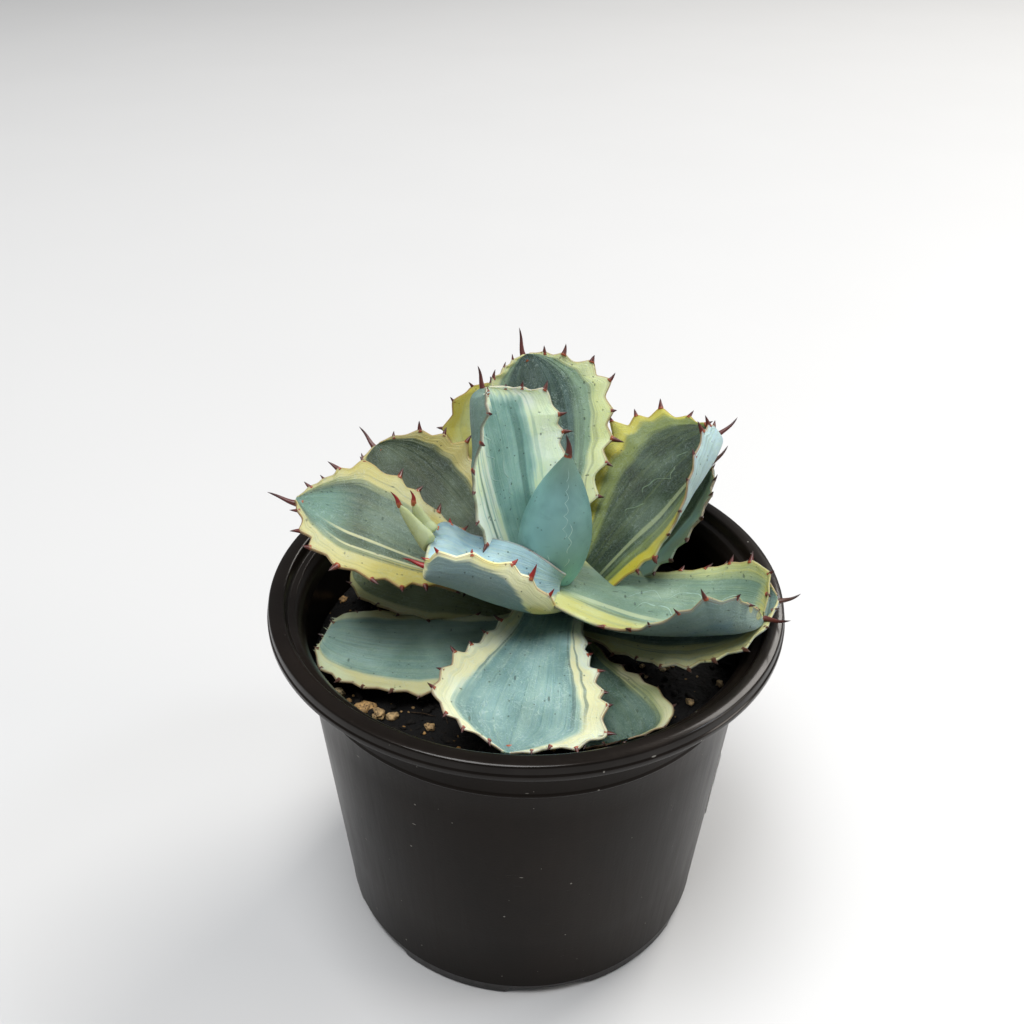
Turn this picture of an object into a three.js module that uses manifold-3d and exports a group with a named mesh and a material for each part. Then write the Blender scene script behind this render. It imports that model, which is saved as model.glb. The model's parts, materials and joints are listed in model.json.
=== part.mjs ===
// A small variegated agave in its nursery pot.
// Millimetres, +Z up. The origin is the middle of the pot's foot, on the table.
// Left and right are as seen from the front, which looks along +Y.

import * as THREE from 'three';
import { mergeVertices } from 'three/addons/utils/BufferGeometryUtils.js';
import Module from 'manifold-3d';

const wasm = await Module();
wasm.setup();

// Pot
const POT_HEIGHT = 123;
const RIM_RADIUS = 80;
const RIM_INNER = 75;
const RIM_EDGE = 0.6;
const SKIRT_DEPTH = 4.8;
const SKIRT_STEP = 2.9;
const SKIRT_FLARE = 0.5;
const SKIRT_ROOM = 1.2;
const WALL = 1.3;
const FOOT_RADIUS = 62;
const WALL_TOP_RADIUS = 71.2;
const WALL_TOP = 116.4;
const SHOULDER = [2.6, 1.9];
const LEDGE_HEIGHT = 119.4;
const LEDGE_WIDTH = 1.2;
const RING_HEIGHT = 101.6;
const RING_RISE = 0.4;
const RING_HALF_HEIGHT = 0.7;
const RING_ROOT = 0.05;
const FOOT_DEPTH = 3;
const FOOT_WIDTH = 5.5;
const FOOT_EDGE = 0.8;
const FOOT_DRAFT = 0.3;
const FLOOR = 1.5;
const NOTCH_COUNT = 6;
const NOTCH_WIDTH = 27;
const NOTCH_BEARING = -81;
const NOTCH_DRAFT = 1.5;
const NOTCH_ROOF = 0.2;
const DRAIN_CIRCLE = 45;
const DRAIN_RADIUS = 4.5;
const DRAIN_SIDES = 12;
const POT_SIDES = 48;

// Soil, crown and bud
const GAP = 0.3;
const LEAF_GAP = 0.4;
const SOIL_TOP = 100;
const SOIL_EDGE = 2;
const SOIL_ROUGHNESS = 1.1;
const SOIL_RINGS = [0.92, 0.76, 0.58, 0.4, 0.22];
const GRIT_COUNT = 24;
const GRIT_BAND = [30, 65];
const GRIT_SIZE = [0.9, 2.2];
const CROWN = [10, 3];
const CROWN_FOOT_RADIUS = 11;
const CROWN_TOP = 116;
const CROWN_TOP_RADIUS = 6;
const CROWN_SIDES = 14;
const ROOT_RADIUS = 6;
const ROOT_DEPTH = 26;
const BUD_FOOT = [6.5, 4, 117.5];
const BUD_TIP = [12, 6, 166];
const BUD_RADIUS = 12;
const BUD_SPINE = 6;
const BUD_SPINE_BEND = 1.5;
const BUD_RINGS = 9;

// Leaf blades
const MIDRIB_THICKNESS = 3.6;
const MARGIN_THICKNESS = 1.1;
const COLUMNS = [-1, -0.62, 0, 0.62, 1];
const TIP_HALF_WIDTH = 1.1;
const THINNING = 0.45;
const BARE_FOOT = 0.08;
const LOBE = 0.9;
const TOOTH = { length: 3.2, spread: 0.6, lean: 0.9, width: 2, thickness: 0.7 };
const TEETH_FROM = 0.14;
const TEETH_SPAN = 0.82;
const TEETH_CROWDING = 1.3;
const SPINE_RADIUS = 1.5;
const SPINE_ROOT = 3;
const SPINE_SIDES = 5;

// Label
const LABEL = { bearing: 2, width: 40, low: 36, high: 66, thickness: 0.6, steps: 6 };

// The leaves, from the heart outwards. bearing, reach and foot say where a blade leaves the crown: degrees
// round it, distance from its axis, and height. tip is the end of the blade. sag bends the midrib down and
// drift bends it sideways, both in mm; hook lifts (+) or drops (-) the last third. Left is the left half
// seen from the crown. slide pushes the edges ahead, the left and the right one, in mm. fuller widens the
// right half. cup is how far each half curls up, in degrees at the foot, middle and tip, and roll turns the
// blade about its midrib at the same three places. neck is the foot's share of the width, widest the place
// along the blade where it is full, flare how late it gets there, and end the shape of its end. bareSide is
// a side without teeth: 1 is the left one and -1 the right one.
const LEAVES = {
  leaf_inner_upright: {
    bearing: 155, reach: 9, foot: 123, tip: [-11.5, 19.5, 180.5], sag: 2, hook: -2, slide: [0, -8],
    width: 41, neck: 0.66, widest: 0.8, cupLeft: [15, 30, 100], cupRight: [60, 45, 25], end: [6, 5],
    teeth: 8, spine: 7,
  },
  leaf_front_cupped: {
    bearing: 272.5, reach: 11.5, foot: 125.2, tip: [-28, -19.4, 146], sag: 2.5, drift: 3.4, hook: -2.8,
    roll: [-63, -11, -17], width: 43, neck: 0.3, widest: 0.67, flare: 0.64, cupLeft: [95, 113, 114],
    cupRight: [70, 8, -8], end: [4, 4], teeth: 6, spine: 7, bareSide: -1,
  },
  leaf_back_centre: {
    bearing: 98, reach: 10, foot: 114, tip: [-1, 53.5, 176], sag: 3, drift: -2, roll: [0, 8, 18],
    width: 49, neck: 0.34, widest: 0.78, flare: 1.2, cupLeft: [45, 40, 30], cupRight: [45, 40, 30],
    end: [2.2, 1.4], teeth: 9,
  },
  leaf_right_front: {
    bearing: 320, reach: 2, foot: 122.4, tip: [69, -24.5, 131.8], sag: 7, drift: 3.4, hook: -1.9,
    slide: [0, 8.4], roll: [-12, -1, 10], width: 40, fuller: 1.56, neck: 0.8, cupLeft: [11, 8, 54],
    cupRight: [15, 42, 109], end: [3, 3], teeth: 8,
  },
  leaf_left_large: {
    bearing: 184, reach: 8, foot: 114, tip: [-70.5, 4.5, 150], sag: -1, drift: 1, hook: -1, width: 46,
    fuller: 1.13, neck: 0.28, widest: 0.76, cupLeft: [30, 4, 5], cupRight: [20, 15, 25], end: [1.6, 1.1],
    teeth: 9,
  },
  leaf_right_rear: {
    bearing: 42, reach: 8, foot: 112, tip: [61.5, 38, 156], sag: -2, drift: 1, width: 54, neck: 0.36,
    cupLeft: [0, 22, 5], cupRight: [-5, 45, 130], end: [2.4, 2], teeth: 9,
  },
  leaf_front_centre: {
    bearing: 258, reach: 8, foot: 114.5, tip: [-4.5, -64, 112], sag: -4, drift: 0, width: 48,
    neck: 0.46, widest: 0.84, flare: 1.5, cupLeft: [20, 10, 10], cupRight: [20, 25, 50],
    end: [1.6, 1.1], teeth: 9, spine: 4,
  },
  leaf_left_rear: {
    bearing: 142, reach: 8, foot: 108.5, tip: [-51.5, 46, 145], sag: 3, roll: [-8, -10, -6], width: 43,
    neck: 0.4, cupLeft: [5, 5, 15], cupRight: [15, 30, 35], end: [2.4, 1.6], teeth: 8,
  },
  leaf_right_low: {
    bearing: 342, reach: 8, foot: 107.5, tip: [75.5, -15, 129], sag: 2, drift: -3, width: 44,
    neck: 0.42, widest: 0.6, cupLeft: [0, 0, 35], cupRight: [15, 0, 15], end: [2.4, 1.6], teeth: 8,
    spine: 7,
  },
  leaf_left_low: {
    bearing: 199, reach: 8, foot: 107, tip: [-63, -10, 108], sag: 1.5, drift: 8.5, slide: [-2, 2],
    width: 41, neck: 0.34, widest: 0.52, flare: 1.1, cupLeft: [10, 5, 0], cupRight: [0, -8, 0],
    end: [1.6, 4], teeth: 9, spine: 3,
  },
  leaf_back_low_right: {
    bearing: 72, reach: 8, foot: 104, tip: [28, 54, 116], sag: 0, width: 36, neck: 0.38,
    cupLeft: [0, 15, 20], cupRight: [0, 10, 20], end: [2.4, 1.6], teeth: 7, spine: 6,
  },
  leaf_back_left: {
    bearing: 111, reach: 8, foot: 105.5, tip: [-13, 67, 158.5], sag: 9, roll: [-8, -10, 0], width: 34,
    neck: 0.4, cupLeft: [0, 0, 0], cupRight: [5, 30, 20], end: [3.4, 2.4], teeth: 8, spine: 2.5,
  },
  leaf_front_right_low: {
    bearing: 302, reach: 8, foot: 105.5, tip: [29, -50, 104], sag: -2, drift: -1, width: 34, neck: 0.32,
    widest: 0.86, flare: 2, cupLeft: [5, 10, 10], cupRight: [5, 10, 10], end: [4, 3], teeth: 7,
    spine: 4,
  },
  leaf_left_under: {
    bearing: 160, reach: 8, foot: 104, tip: [-59, 24.5, 109], sag: 0, roll: [-2, -4, -4], width: 30,
    neck: 0.36, cupLeft: [0, 5, 10], cupRight: [0, 0, 5], end: [2.4, 1.6], teeth: 7, spine: 4,
  },
  leaf_right_under: {
    bearing: 28, reach: 8, foot: 106, tip: [61, 42.5, 142], sag: 2, drift: 2, width: 39, neck: 0.38,
    cupLeft: [10, 15, 20], cupRight: [0, 35, 60], end: [2.4, 1.6], teeth: 8,
  },
  leaf_back_low_left: {
    bearing: 124, reach: 8, foot: 104.5, tip: [-28, 54, 114], sag: 0, width: 30, neck: 0.34,
    cupLeft: [15, 25, 20], cupRight: [0, 10, 20], end: [2.4, 1.6], teeth: 7, spine: 6,
  },
};
const LEAF_DEFAULTS = {
  drift: 0, hook: 0, slide: [0, 0], roll: [0, 0, 0], fuller: 1, widest: 0.68, flare: 1, spine: 9,
  bareSide: 0,
};

const radians = THREE.MathUtils.degToRad;
const smooth = (share) => share * share * (3 - 2 * share);

// A repeatable draw between 0 and 1.
function draw(index, seed) {
  const value = Math.sin(index * 12.9898 + seed * 78.233) * 43758.5453;
  return value - Math.floor(value);
}

// A closed mesh becomes a solid that can be joined and cut.
function solidOf(geometry) {
  const bare = geometry.clone();
  bare.deleteAttribute('normal');
  bare.deleteAttribute('uv');
  const merged = mergeVertices(bare.index ? bare.toNonIndexed() : bare, 1e-4);
  const vertProperties = new Float32Array(merged.attributes.position.array);
  const triVerts = new Uint32Array(merged.index.array);
  return new wasm.Manifold(new wasm.Mesh({ numProp: 3, vertProperties, triVerts }));
}

function geometryOf(solid) {
  const mesh = solid.getMesh();
  const geometry = new THREE.BufferGeometry();
  geometry.setAttribute('position', new THREE.BufferAttribute(new Float32Array(mesh.vertProperties), 3));
  geometry.setIndex(new THREE.BufferAttribute(new Uint32Array(mesh.triVerts), 1));
  return geometry;
}

// A cut can leave crumbs: only the body with the most material stays.
function largestBody(solid) {
  return solid.decompose().reduce((best, body) => (body.volume() > best.volume() ? body : best));
}

function lathe(points, sides) {
  const outline = points.map(([radius, height]) => new THREE.Vector2(radius, height));
  const geometry = new THREE.LatheGeometry(outline, sides);
  geometry.rotateX(Math.PI / 2);
  return geometry;
}

// A cone from a wide root to a point.
function cone(root, tip, radius, sides) {
  const axis = new THREE.Vector3().subVectors(tip, root);
  const geometry = new THREE.ConeGeometry(radius, axis.length(), sides);
  geometry.translate(0, axis.length() / 2, 0);
  const turn = new THREE.Quaternion().setFromUnitVectors(new THREE.Vector3(0, 1, 0), axis.normalize());
  geometry.applyQuaternion(turn);
  geometry.translate(root.x, root.y, root.z);
  return geometry;
}

const wallRadius = (height) => FOOT_RADIUS + (WALL_TOP_RADIUS - FOOT_RADIUS) * (height / WALL_TOP);

function potSolid() {
  const skirtLow = POT_HEIGHT - SKIRT_DEPTH;
  const skirtStep = POT_HEIGHT - SKIRT_STEP;
  const skirtRadius = RIM_RADIUS + SKIRT_FLARE;
  const floorTop = FOOT_DEPTH + FLOOR;
  const ringRadius = wallRadius(RING_HEIGHT);
  const shell = solidOf(lathe([
    [0, FOOT_DEPTH],
    [FOOT_RADIUS - FOOT_WIDTH, FOOT_DEPTH],
    [FOOT_RADIUS - FOOT_WIDTH + FOOT_DRAFT, 0],
    [FOOT_RADIUS - FOOT_EDGE, 0],
    [FOOT_RADIUS, FOOT_EDGE],
    [ringRadius - RING_ROOT, RING_HEIGHT - RING_HALF_HEIGHT],
    [ringRadius + RING_RISE, RING_HEIGHT],
    [ringRadius + RING_ROOT, RING_HEIGHT + RING_HALF_HEIGHT],
    [WALL_TOP_RADIUS, WALL_TOP],
    [WALL_TOP_RADIUS + SHOULDER[0], WALL_TOP + SHOULDER[1]],
    [RIM_INNER + SKIRT_ROOM, POT_HEIGHT - WALL],
    [RIM_RADIUS - SKIRT_ROOM, POT_HEIGHT - WALL],
    [skirtRadius - WALL, skirtLow],
    [skirtRadius, skirtLow],
    [skirtRadius, skirtStep - RIM_EDGE / 2],
    [RIM_RADIUS, skirtStep],
    [RIM_RADIUS, POT_HEIGHT - RIM_EDGE],
    [RIM_RADIUS - RIM_EDGE, POT_HEIGHT],
    [RIM_INNER + RIM_EDGE, POT_HEIGHT],
    [RIM_INNER, POT_HEIGHT - RIM_EDGE],
    [RIM_INNER - RIM_EDGE, LEDGE_HEIGHT + RIM_EDGE],
    [WALL_TOP_RADIUS + LEDGE_WIDTH, LEDGE_HEIGHT],
    [WALL_TOP_RADIUS - LEDGE_WIDTH, WALL_TOP],
    [wallRadius(WALL_TOP - LEDGE_WIDTH) - WALL, WALL_TOP - LEDGE_WIDTH],
    [wallRadius(floorTop + 1) - WALL, floorTop + 1],
    [wallRadius(floorTop) - WALL - 1, floorTop],
    [0, floorTop],
  ], POT_SIDES));
  const cuts = [];
  for (let i = 0; i < NOTCH_COUNT; i += 1) {
    const notch = new THREE.Shape([
      new THREE.Vector2(-NOTCH_WIDTH / 2, -1),
      new THREE.Vector2(NOTCH_WIDTH / 2, -1),
      new THREE.Vector2(NOTCH_WIDTH / 2 - NOTCH_DRAFT, FOOT_DEPTH - NOTCH_ROOF),
      new THREE.Vector2(-NOTCH_WIDTH / 2 + NOTCH_DRAFT, FOOT_DEPTH - NOTCH_ROOF),
    ]);
    const prism = new THREE.ExtrudeGeometry(notch, { depth: 3 * FOOT_WIDTH, bevelEnabled: false });
    prism.rotateX(Math.PI / 2);
    prism.rotateZ(Math.PI);
    prism.translate(0, FOOT_RADIUS - 2 * FOOT_WIDTH, 0);
    const drain = new THREE.CylinderGeometry(DRAIN_RADIUS, DRAIN_RADIUS, 4 * FOOT_DEPTH, DRAIN_SIDES);
    drain.rotateX(Math.PI / 2);
    drain.translate(0, DRAIN_CIRCLE, FOOT_DEPTH);
    for (const cutter of [prism, drain]) {
      cutter.rotateZ(radians(NOTCH_BEARING - 90 + (360 / NOTCH_COUNT) * i));
      cuts.push(solidOf(cutter));
    }
  }
  return cuts.reduce((solid, cut) => solid.subtract(cut), shell);
}

// A sticker on the wall, standing a hair off it.
function labelSolid() {
  const sweep = LABEL.width / wallRadius(LABEL.high);
  const corner = (share, height, offset) => {
    const angle = radians(LABEL.bearing) + (share - 0.5) * sweep;
    const radius = wallRadius(height) + GAP + offset;
    return [radius * Math.cos(angle), radius * Math.sin(angle), height];
  };
  return gridSolid(LABEL.steps + 1, 2, (i, j, face) => (
    corner(i / LABEL.steps, j ? LABEL.high : LABEL.low, face ? 0 : LABEL.thickness)));
}

// A closed plate over a grid of rows and columns. Face 0 is its upper skin and face 1 its lower one.
function gridSolid(rows, columns, place) {
  const positions = [];
  for (let face = 0; face < 2; face += 1) {
    for (let i = 0; i < rows; i += 1) {
      for (let j = 0; j < columns; j += 1) positions.push(...place(i, j, face));
    }
  }
  const at = (i, j, face) => face * rows * columns + i * columns + j;
  const triangles = [];
  for (let i = 0; i < rows - 1; i += 1) {
    for (let j = 0; j < columns - 1; j += 1) {
      for (let face = 0; face < 2; face += 1) {
        const [a, b] = [at(i, j, face), at(i + 1, j, face)];
        const [c, d] = [at(i + 1, j + 1, face), at(i, j + 1, face)];
        const quad = (i + j) % 2 ? [a, b, c, a, c, d] : [a, b, d, b, c, d];
        triangles.push(...(face ? quad.reverse() : quad));
      }
    }
  }
  const rim = [];
  for (let j = 0; j < columns - 1; j += 1) rim.push([[0, j], [0, j + 1]]);
  for (let i = 0; i < rows - 1; i += 1) rim.push([[i, columns - 1], [i + 1, columns - 1]]);
  for (let j = columns - 1; j > 0; j -= 1) rim.push([[rows - 1, j], [rows - 1, j - 1]]);
  for (let i = rows - 1; i > 0; i -= 1) rim.push([[i, 0], [i - 1, 0]]);
  for (const [[i, j], [k, l]] of rim) {
    const [a, b, c, d] = [at(i, j, 0), at(k, l, 0), at(k, l, 1), at(i, j, 1)];
    triangles.push(a, b, c, a, c, d);
  }
  const geometry = new THREE.BufferGeometry();
  geometry.setAttribute('position', new THREE.BufferAttribute(new Float32Array(positions), 3));
  geometry.setIndex(triangles);
  const solid = solidOf(geometry);
  if (solid.volume() > 0) return solid;
  geometry.setIndex(triangles.reverse());
  return solidOf(geometry);
}

// The potting soil fills the pot to a rough top with grit in it, round a plain hole for the root.
function soilSolid() {
  const floor = FOOT_DEPTH + FLOOR + GAP;
  const inner = (height) => wallRadius(height) - WALL - GAP;
  const edge = inner(SOIL_TOP - SOIL_EDGE);
  const profile = [[0, floor], [inner(floor) - 1, floor], [inner(floor + 1), floor + 1]];
  profile.push([edge, SOIL_TOP - SOIL_EDGE]);
  for (const ring of SOIL_RINGS) profile.push([edge * ring, SOIL_TOP]);
  profile.push([0, SOIL_TOP]);
  const geometry = lathe(profile, POT_SIDES);
  const position = geometry.attributes.position;
  for (let i = 0; i < position.count; i += 1) {
    const [x, y, z] = [position.getX(i), position.getY(i), position.getZ(i)];
    const far = Math.hypot(x - CROWN[0], y - CROWN[1]) > 2 * CROWN_FOOT_RADIUS;
    const bump = draw(Math.round(x * 3), Math.round(y * 3) * 0.01) - 0.9;
    if (far && z > SOIL_TOP - 1) position.setZ(i, z + SOIL_ROUGHNESS * bump);
  }
  let soil = solidOf(geometry);
  for (let i = 0; i < GRIT_COUNT; i += 1) {
    const size = THREE.MathUtils.lerp(...GRIT_SIZE, draw(i, 3) ** 2);
    const distance = THREE.MathUtils.lerp(...GRIT_BAND, Math.sqrt(draw(i, 1)));
    const angle = 2 * Math.PI * draw(i, 2);
    const grain = new THREE.OctahedronGeometry(size, 0);
    grain.rotateX(3 * draw(i, 4));
    grain.rotateY(3 * draw(i, 5));
    grain.translate(distance * Math.cos(angle), distance * Math.sin(angle), SOIL_TOP - 0.5 - size / 5);
    soil = soil.add(solidOf(grain));
  }
  const depth = 2 * (ROOT_DEPTH + GAP);
  const hole = new THREE.CylinderGeometry(ROOT_RADIUS + GAP, ROOT_RADIUS + GAP, depth, CROWN_SIDES);
  hole.rotateX(Math.PI / 2);
  hole.translate(CROWN[0], CROWN[1], SOIL_TOP);
  return largestBody(soil.subtract(solidOf(hole)));
}

// The short stem: a root stub in the soil and a cone above it that the leaves grow from.
function crownSolid(grow = 0) {
  const geometry = lathe([
    [0, SOIL_TOP - ROOT_DEPTH - grow],
    [ROOT_RADIUS - 1.5 + grow, SOIL_TOP - ROOT_DEPTH - grow],
    [ROOT_RADIUS + grow, SOIL_TOP - ROOT_DEPTH + 4],
    [ROOT_RADIUS + grow, SOIL_TOP + GAP - grow],
    [CROWN_FOOT_RADIUS + grow, SOIL_TOP + GAP - grow],
    [CROWN_FOOT_RADIUS - 1 + grow, SOIL_TOP + 8],
    [CROWN_TOP_RADIUS + 1.5 + grow, CROWN_TOP - 3],
    [CROWN_TOP_RADIUS + grow, CROWN_TOP + grow],
    [0, CROWN_TOP + grow],
  ], CROWN_SIDES);
  geometry.translate(CROWN[0], CROWN[1], 0);
  return solidOf(geometry);
}

// The closed bud: a plump spear that ends in a spine.
function budSolid(grow = 0) {
  const foot = new THREE.Vector3(...BUD_FOOT);
  const tip = new THREE.Vector3(...BUD_TIP);
  const outline = [[0, -grow]];
  for (let i = 0; i < BUD_RINGS; i += 1) {
    const share = i / (BUD_RINGS - 1);
    outline.push([budRadius(share) + grow, share * foot.distanceTo(tip) + (i ? 0 : -grow)]);
  }
  outline.push([0, foot.distanceTo(tip) + 0.4 + grow]);
  const body = lathe(outline, CROWN_SIDES);
  const axis = new THREE.Vector3().subVectors(tip, foot).normalize();
  body.applyQuaternion(new THREE.Quaternion().setFromUnitVectors(new THREE.Vector3(0, 0, 1), axis));
  body.translate(foot.x, foot.y, foot.z);
  const root = tip.clone().addScaledVector(axis, -SPINE_ROOT);
  const point = tip.clone().addScaledVector(axis, BUD_SPINE).add(new THREE.Vector3(-BUD_SPINE_BEND, 0, 0));
  const spine = cone(root, point, SPINE_RADIUS + grow, SPINE_SIDES);
  return solidOf(body).add(solidOf(spine));
}

function budRadius(share) {
  const belly = Math.sin(Math.PI * (0.12 + 0.88 * share) ** 0.95) ** 0.85;
  return Math.max(BUD_RADIUS * belly * (1 - 0.12 * share), 1);
}

// Quadratic blend of three values given at the foot, the middle and the tip.
const along = ([foot, middle, tip], t) => (
  foot * (1 - t) * (1 - 2 * t) + middle * 4 * t * (1 - t) + tip * t * (2 * t - 1));

// The middle line of a blade: its point and its three directions at t, from 0 at the foot to 1 at the tip.
function midrib(leaf, t) {
  const bearing = radians(leaf.bearing);
  const foot = new THREE.Vector3(
    CROWN[0] + leaf.reach * Math.cos(bearing), CROWN[1] + leaf.reach * Math.sin(bearing), leaf.foot);
  const tip = new THREE.Vector3(...leaf.tip);
  const chord = new THREE.Vector3().subVectors(tip, foot);
  const aside = new THREE.Vector3(-chord.y, chord.x, 0).normalize();
  const up = new THREE.Vector3().crossVectors(chord, aside).normalize();
  const bend = foot.clone().add(tip).multiplyScalar(0.5)
    .addScaledVector(up, -2 * leaf.sag).addScaledVector(aside, 2 * leaf.drift);
  const last = Math.max(t - 0.7, 0) / 0.3;
  const point = new THREE.Vector3()
    .addScaledVector(foot, (1 - t) ** 2).addScaledVector(bend, 2 * t * (1 - t)).addScaledVector(tip, t * t)
    .addScaledVector(up, leaf.hook * last * last);
  const ahead = new THREE.Vector3()
    .addScaledVector(bend.clone().sub(foot), 1 - t).addScaledVector(tip.clone().sub(bend), t)
    .addScaledVector(up, (leaf.hook * last) / 0.3).normalize();
  const level = new THREE.Vector3(-ahead.y, ahead.x, 0).normalize();
  const raised = new THREE.Vector3().crossVectors(ahead, level);
  const roll = radians(along(leaf.roll, t));
  const across = level.clone().multiplyScalar(Math.cos(roll)).addScaledVector(raised, Math.sin(roll));
  const inward = raised.clone().multiplyScalar(Math.cos(roll)).addScaledVector(level, -Math.sin(roll));
  return { point, ahead, across, inward };
}

function halfWidth(leaf, t) {
  const body = leaf.neck + (1 - leaf.neck) * smooth(Math.min(t / leaf.widest, 1)) ** leaf.flare;
  const taper = Math.max(t - leaf.widest, 0) / (1 - leaf.widest);
  const [square, round] = leaf.end;
  return Math.max((leaf.width / 2) * body * (1 - taper ** square) ** (1 / round), TIP_HALF_WIDTH);
}

// Teeth stand closer together towards the tip.
const toothPlace = (leaf, k) => (
  1 - (1 - TEETH_FROM - (TEETH_SPAN * (k + 0.5)) / leaf.teeth) ** TEETH_CROWDING);

const bladeLength = (leaf) => midrib(leaf, 0).point.distanceTo(midrib(leaf, 1).point);
const bladeThickness = (t, v) => (
  MARGIN_THICKNESS + (MIDRIB_THICKNESS - MARGIN_THICKNESS) * (1 - v * v) * (1 - THINNING * t));

// A point of the blade's upper skin and the direction out of it; v runs from -1 to 1 across the blade.
function skin(leaf, t, v, lobe) {
  const { point, ahead, across, inward } = midrib(leaf, t);
  const onLeft = v > 0;
  const plain = halfWidth(leaf, t);
  const half = plain * (onLeft ? 1 : leaf.fuller) + lobe * v * v;
  const curl = radians(along(onLeft ? leaf.cupLeft : leaf.cupRight, t)) + 1e-3;
  const angle = curl * v;
  const slide = (onLeft ? leaf.slide[0] : leaf.slide[1]) * Math.abs(v) * t * t * ((2 * plain) / leaf.width);
  const place = point.clone()
    .addScaledVector(across, (half * Math.sin(angle)) / curl)
    .addScaledVector(inward, (half * (1 - Math.cos(angle))) / curl)
    .addScaledVector(ahead, slide);
  const out = inward.clone().multiplyScalar(Math.cos(angle)).addScaledVector(across, -Math.sin(angle));
  return { place, out };
}

// The way out of the blade's edge, in the plane of the blade.
function edgeway(leaf, t, side) {
  return skin(leaf, t, side, LOBE).place.sub(skin(leaf, t, side * 0.9, LOBE).place).normalize();
}

// One leaf with its teeth and its end spine. Three rows of the blade carry each tooth.
function leafSolid(name, seed, grow = 0) {
  const leaf = { ...LEAF_DEFAULTS, ...LEAVES[name] };
  const rows = [{ t: 0, lobe: 0 }, { t: BARE_FOOT, lobe: 0 }];
  for (let k = 0; k < leaf.teeth; k += 1) {
    const t = toothPlace(leaf, k);
    const half = (TOOTH.width / 2 + grow) / bladeLength(leaf);
    rows.push({ t: t - half, lobe: LOBE });
    rows.push({ t, lobe: LOBE, tooth: k });
    rows.push({ t: t + half, lobe: LOBE });
  }
  rows.push({ t: 1, lobe: 0 });
  const blade = gridSolid(rows.length, COLUMNS.length, (i, j, face) => {
    const { t, lobe, tooth } = rows[i];
    const v = COLUMNS[j];
    const { place, out } = skin(leaf, t, v, lobe + grow);
    const atTooth = tooth !== undefined && Math.abs(v) === 1 && v !== leaf.bareSide;
    const thickness = atTooth ? TOOTH.thickness : bladeThickness(t, v);
    if (atTooth) {
      const reach = TOOTH.length * TOOTH.spread * (1 + draw(tooth, seed + v));
      const lean = TOOTH.lean * (draw(tooth + 20, seed + v) - 0.4);
      place.addScaledVector(edgeway(leaf, t, v), reach + grow);
      place.addScaledVector(midrib(leaf, t).ahead, lean * reach);
      place.addScaledVector(out, (thickness - MARGIN_THICKNESS) / 2);
    }
    place.addScaledVector(out, face ? -thickness - grow : grow);
    if (i === rows.length - 1) place.addScaledVector(midrib(leaf, t).ahead, grow);
    return place.toArray();
  });
  const { point, ahead, inward } = midrib(leaf, 1);
  const middle = point.clone().addScaledVector(inward, -bladeThickness(1, 0) / 2);
  const root = middle.clone().addScaledVector(ahead, -SPINE_ROOT);
  const top = middle.clone().addScaledVector(ahead, leaf.spine + grow);
  return blade.add(solidOf(cone(root, top, SPINE_RADIUS + grow, SPINE_SIDES)));
}

const object = new THREE.Group();
const FINISHES = {
  plastic: { color: 0x1d1b1a, roughness: 0.38 },
  soil: { color: 0x14110f, roughness: 0.95 },
  paper: { color: 0xe9e7e1, roughness: 0.6 },
  stem: { color: 0x8f9a6a, roughness: 0.6 },
  leaf: { color: 0x7d9a8a, roughness: 0.5 },
  bud: { color: 0x8db5ae, roughness: 0.45 },
};
function add(name, solid, finish) {
  const material = new THREE.MeshStandardMaterial({ metalness: 0, ...FINISHES[finish] });
  const mesh = new THREE.Mesh(geometryOf(solid), material);
  mesh.name = name;
  object.add(mesh);
}

add('pot', potSolid(), 'plastic');
add('label', labelSolid(), 'paper');
add('soil', soilSolid(), 'soil');
add('crown', crownSolid(), 'stem');
add('bud', budSolid(), 'bud');

// Each leaf is pressed round what grows inside it, so it is cut by all of that with a hair's gap.
const inside = [crownSolid(GAP), budSolid(GAP)];
Object.keys(LEAVES).forEach((name, seed) => {
  const cut = inside.reduce((leaf, neighbour) => leaf.subtract(neighbour), leafSolid(name, seed));
  inside.push(leafSolid(name, seed, LEAF_GAP));
  add(name, largestBody(cut), 'leaf');
});

export default object;
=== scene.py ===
"""A small variegated agave in its nursery pot: the finished look over the CAD solids.

Shapes are worked out in millimetres, +Z up, and scaled to metres when a piece is finished. The origin is the
middle of the pot's foot. Left and right are as seen from the front, which looks along +Y.
"""

import json
import logging
import math
import random
from bisect import bisect_left
from dataclasses import asdict, dataclass, field
from enum import Enum
from typing import Callable, Iterable, Sequence

import bmesh
import bpy
from mathutils import Matrix, Vector, noise

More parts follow.
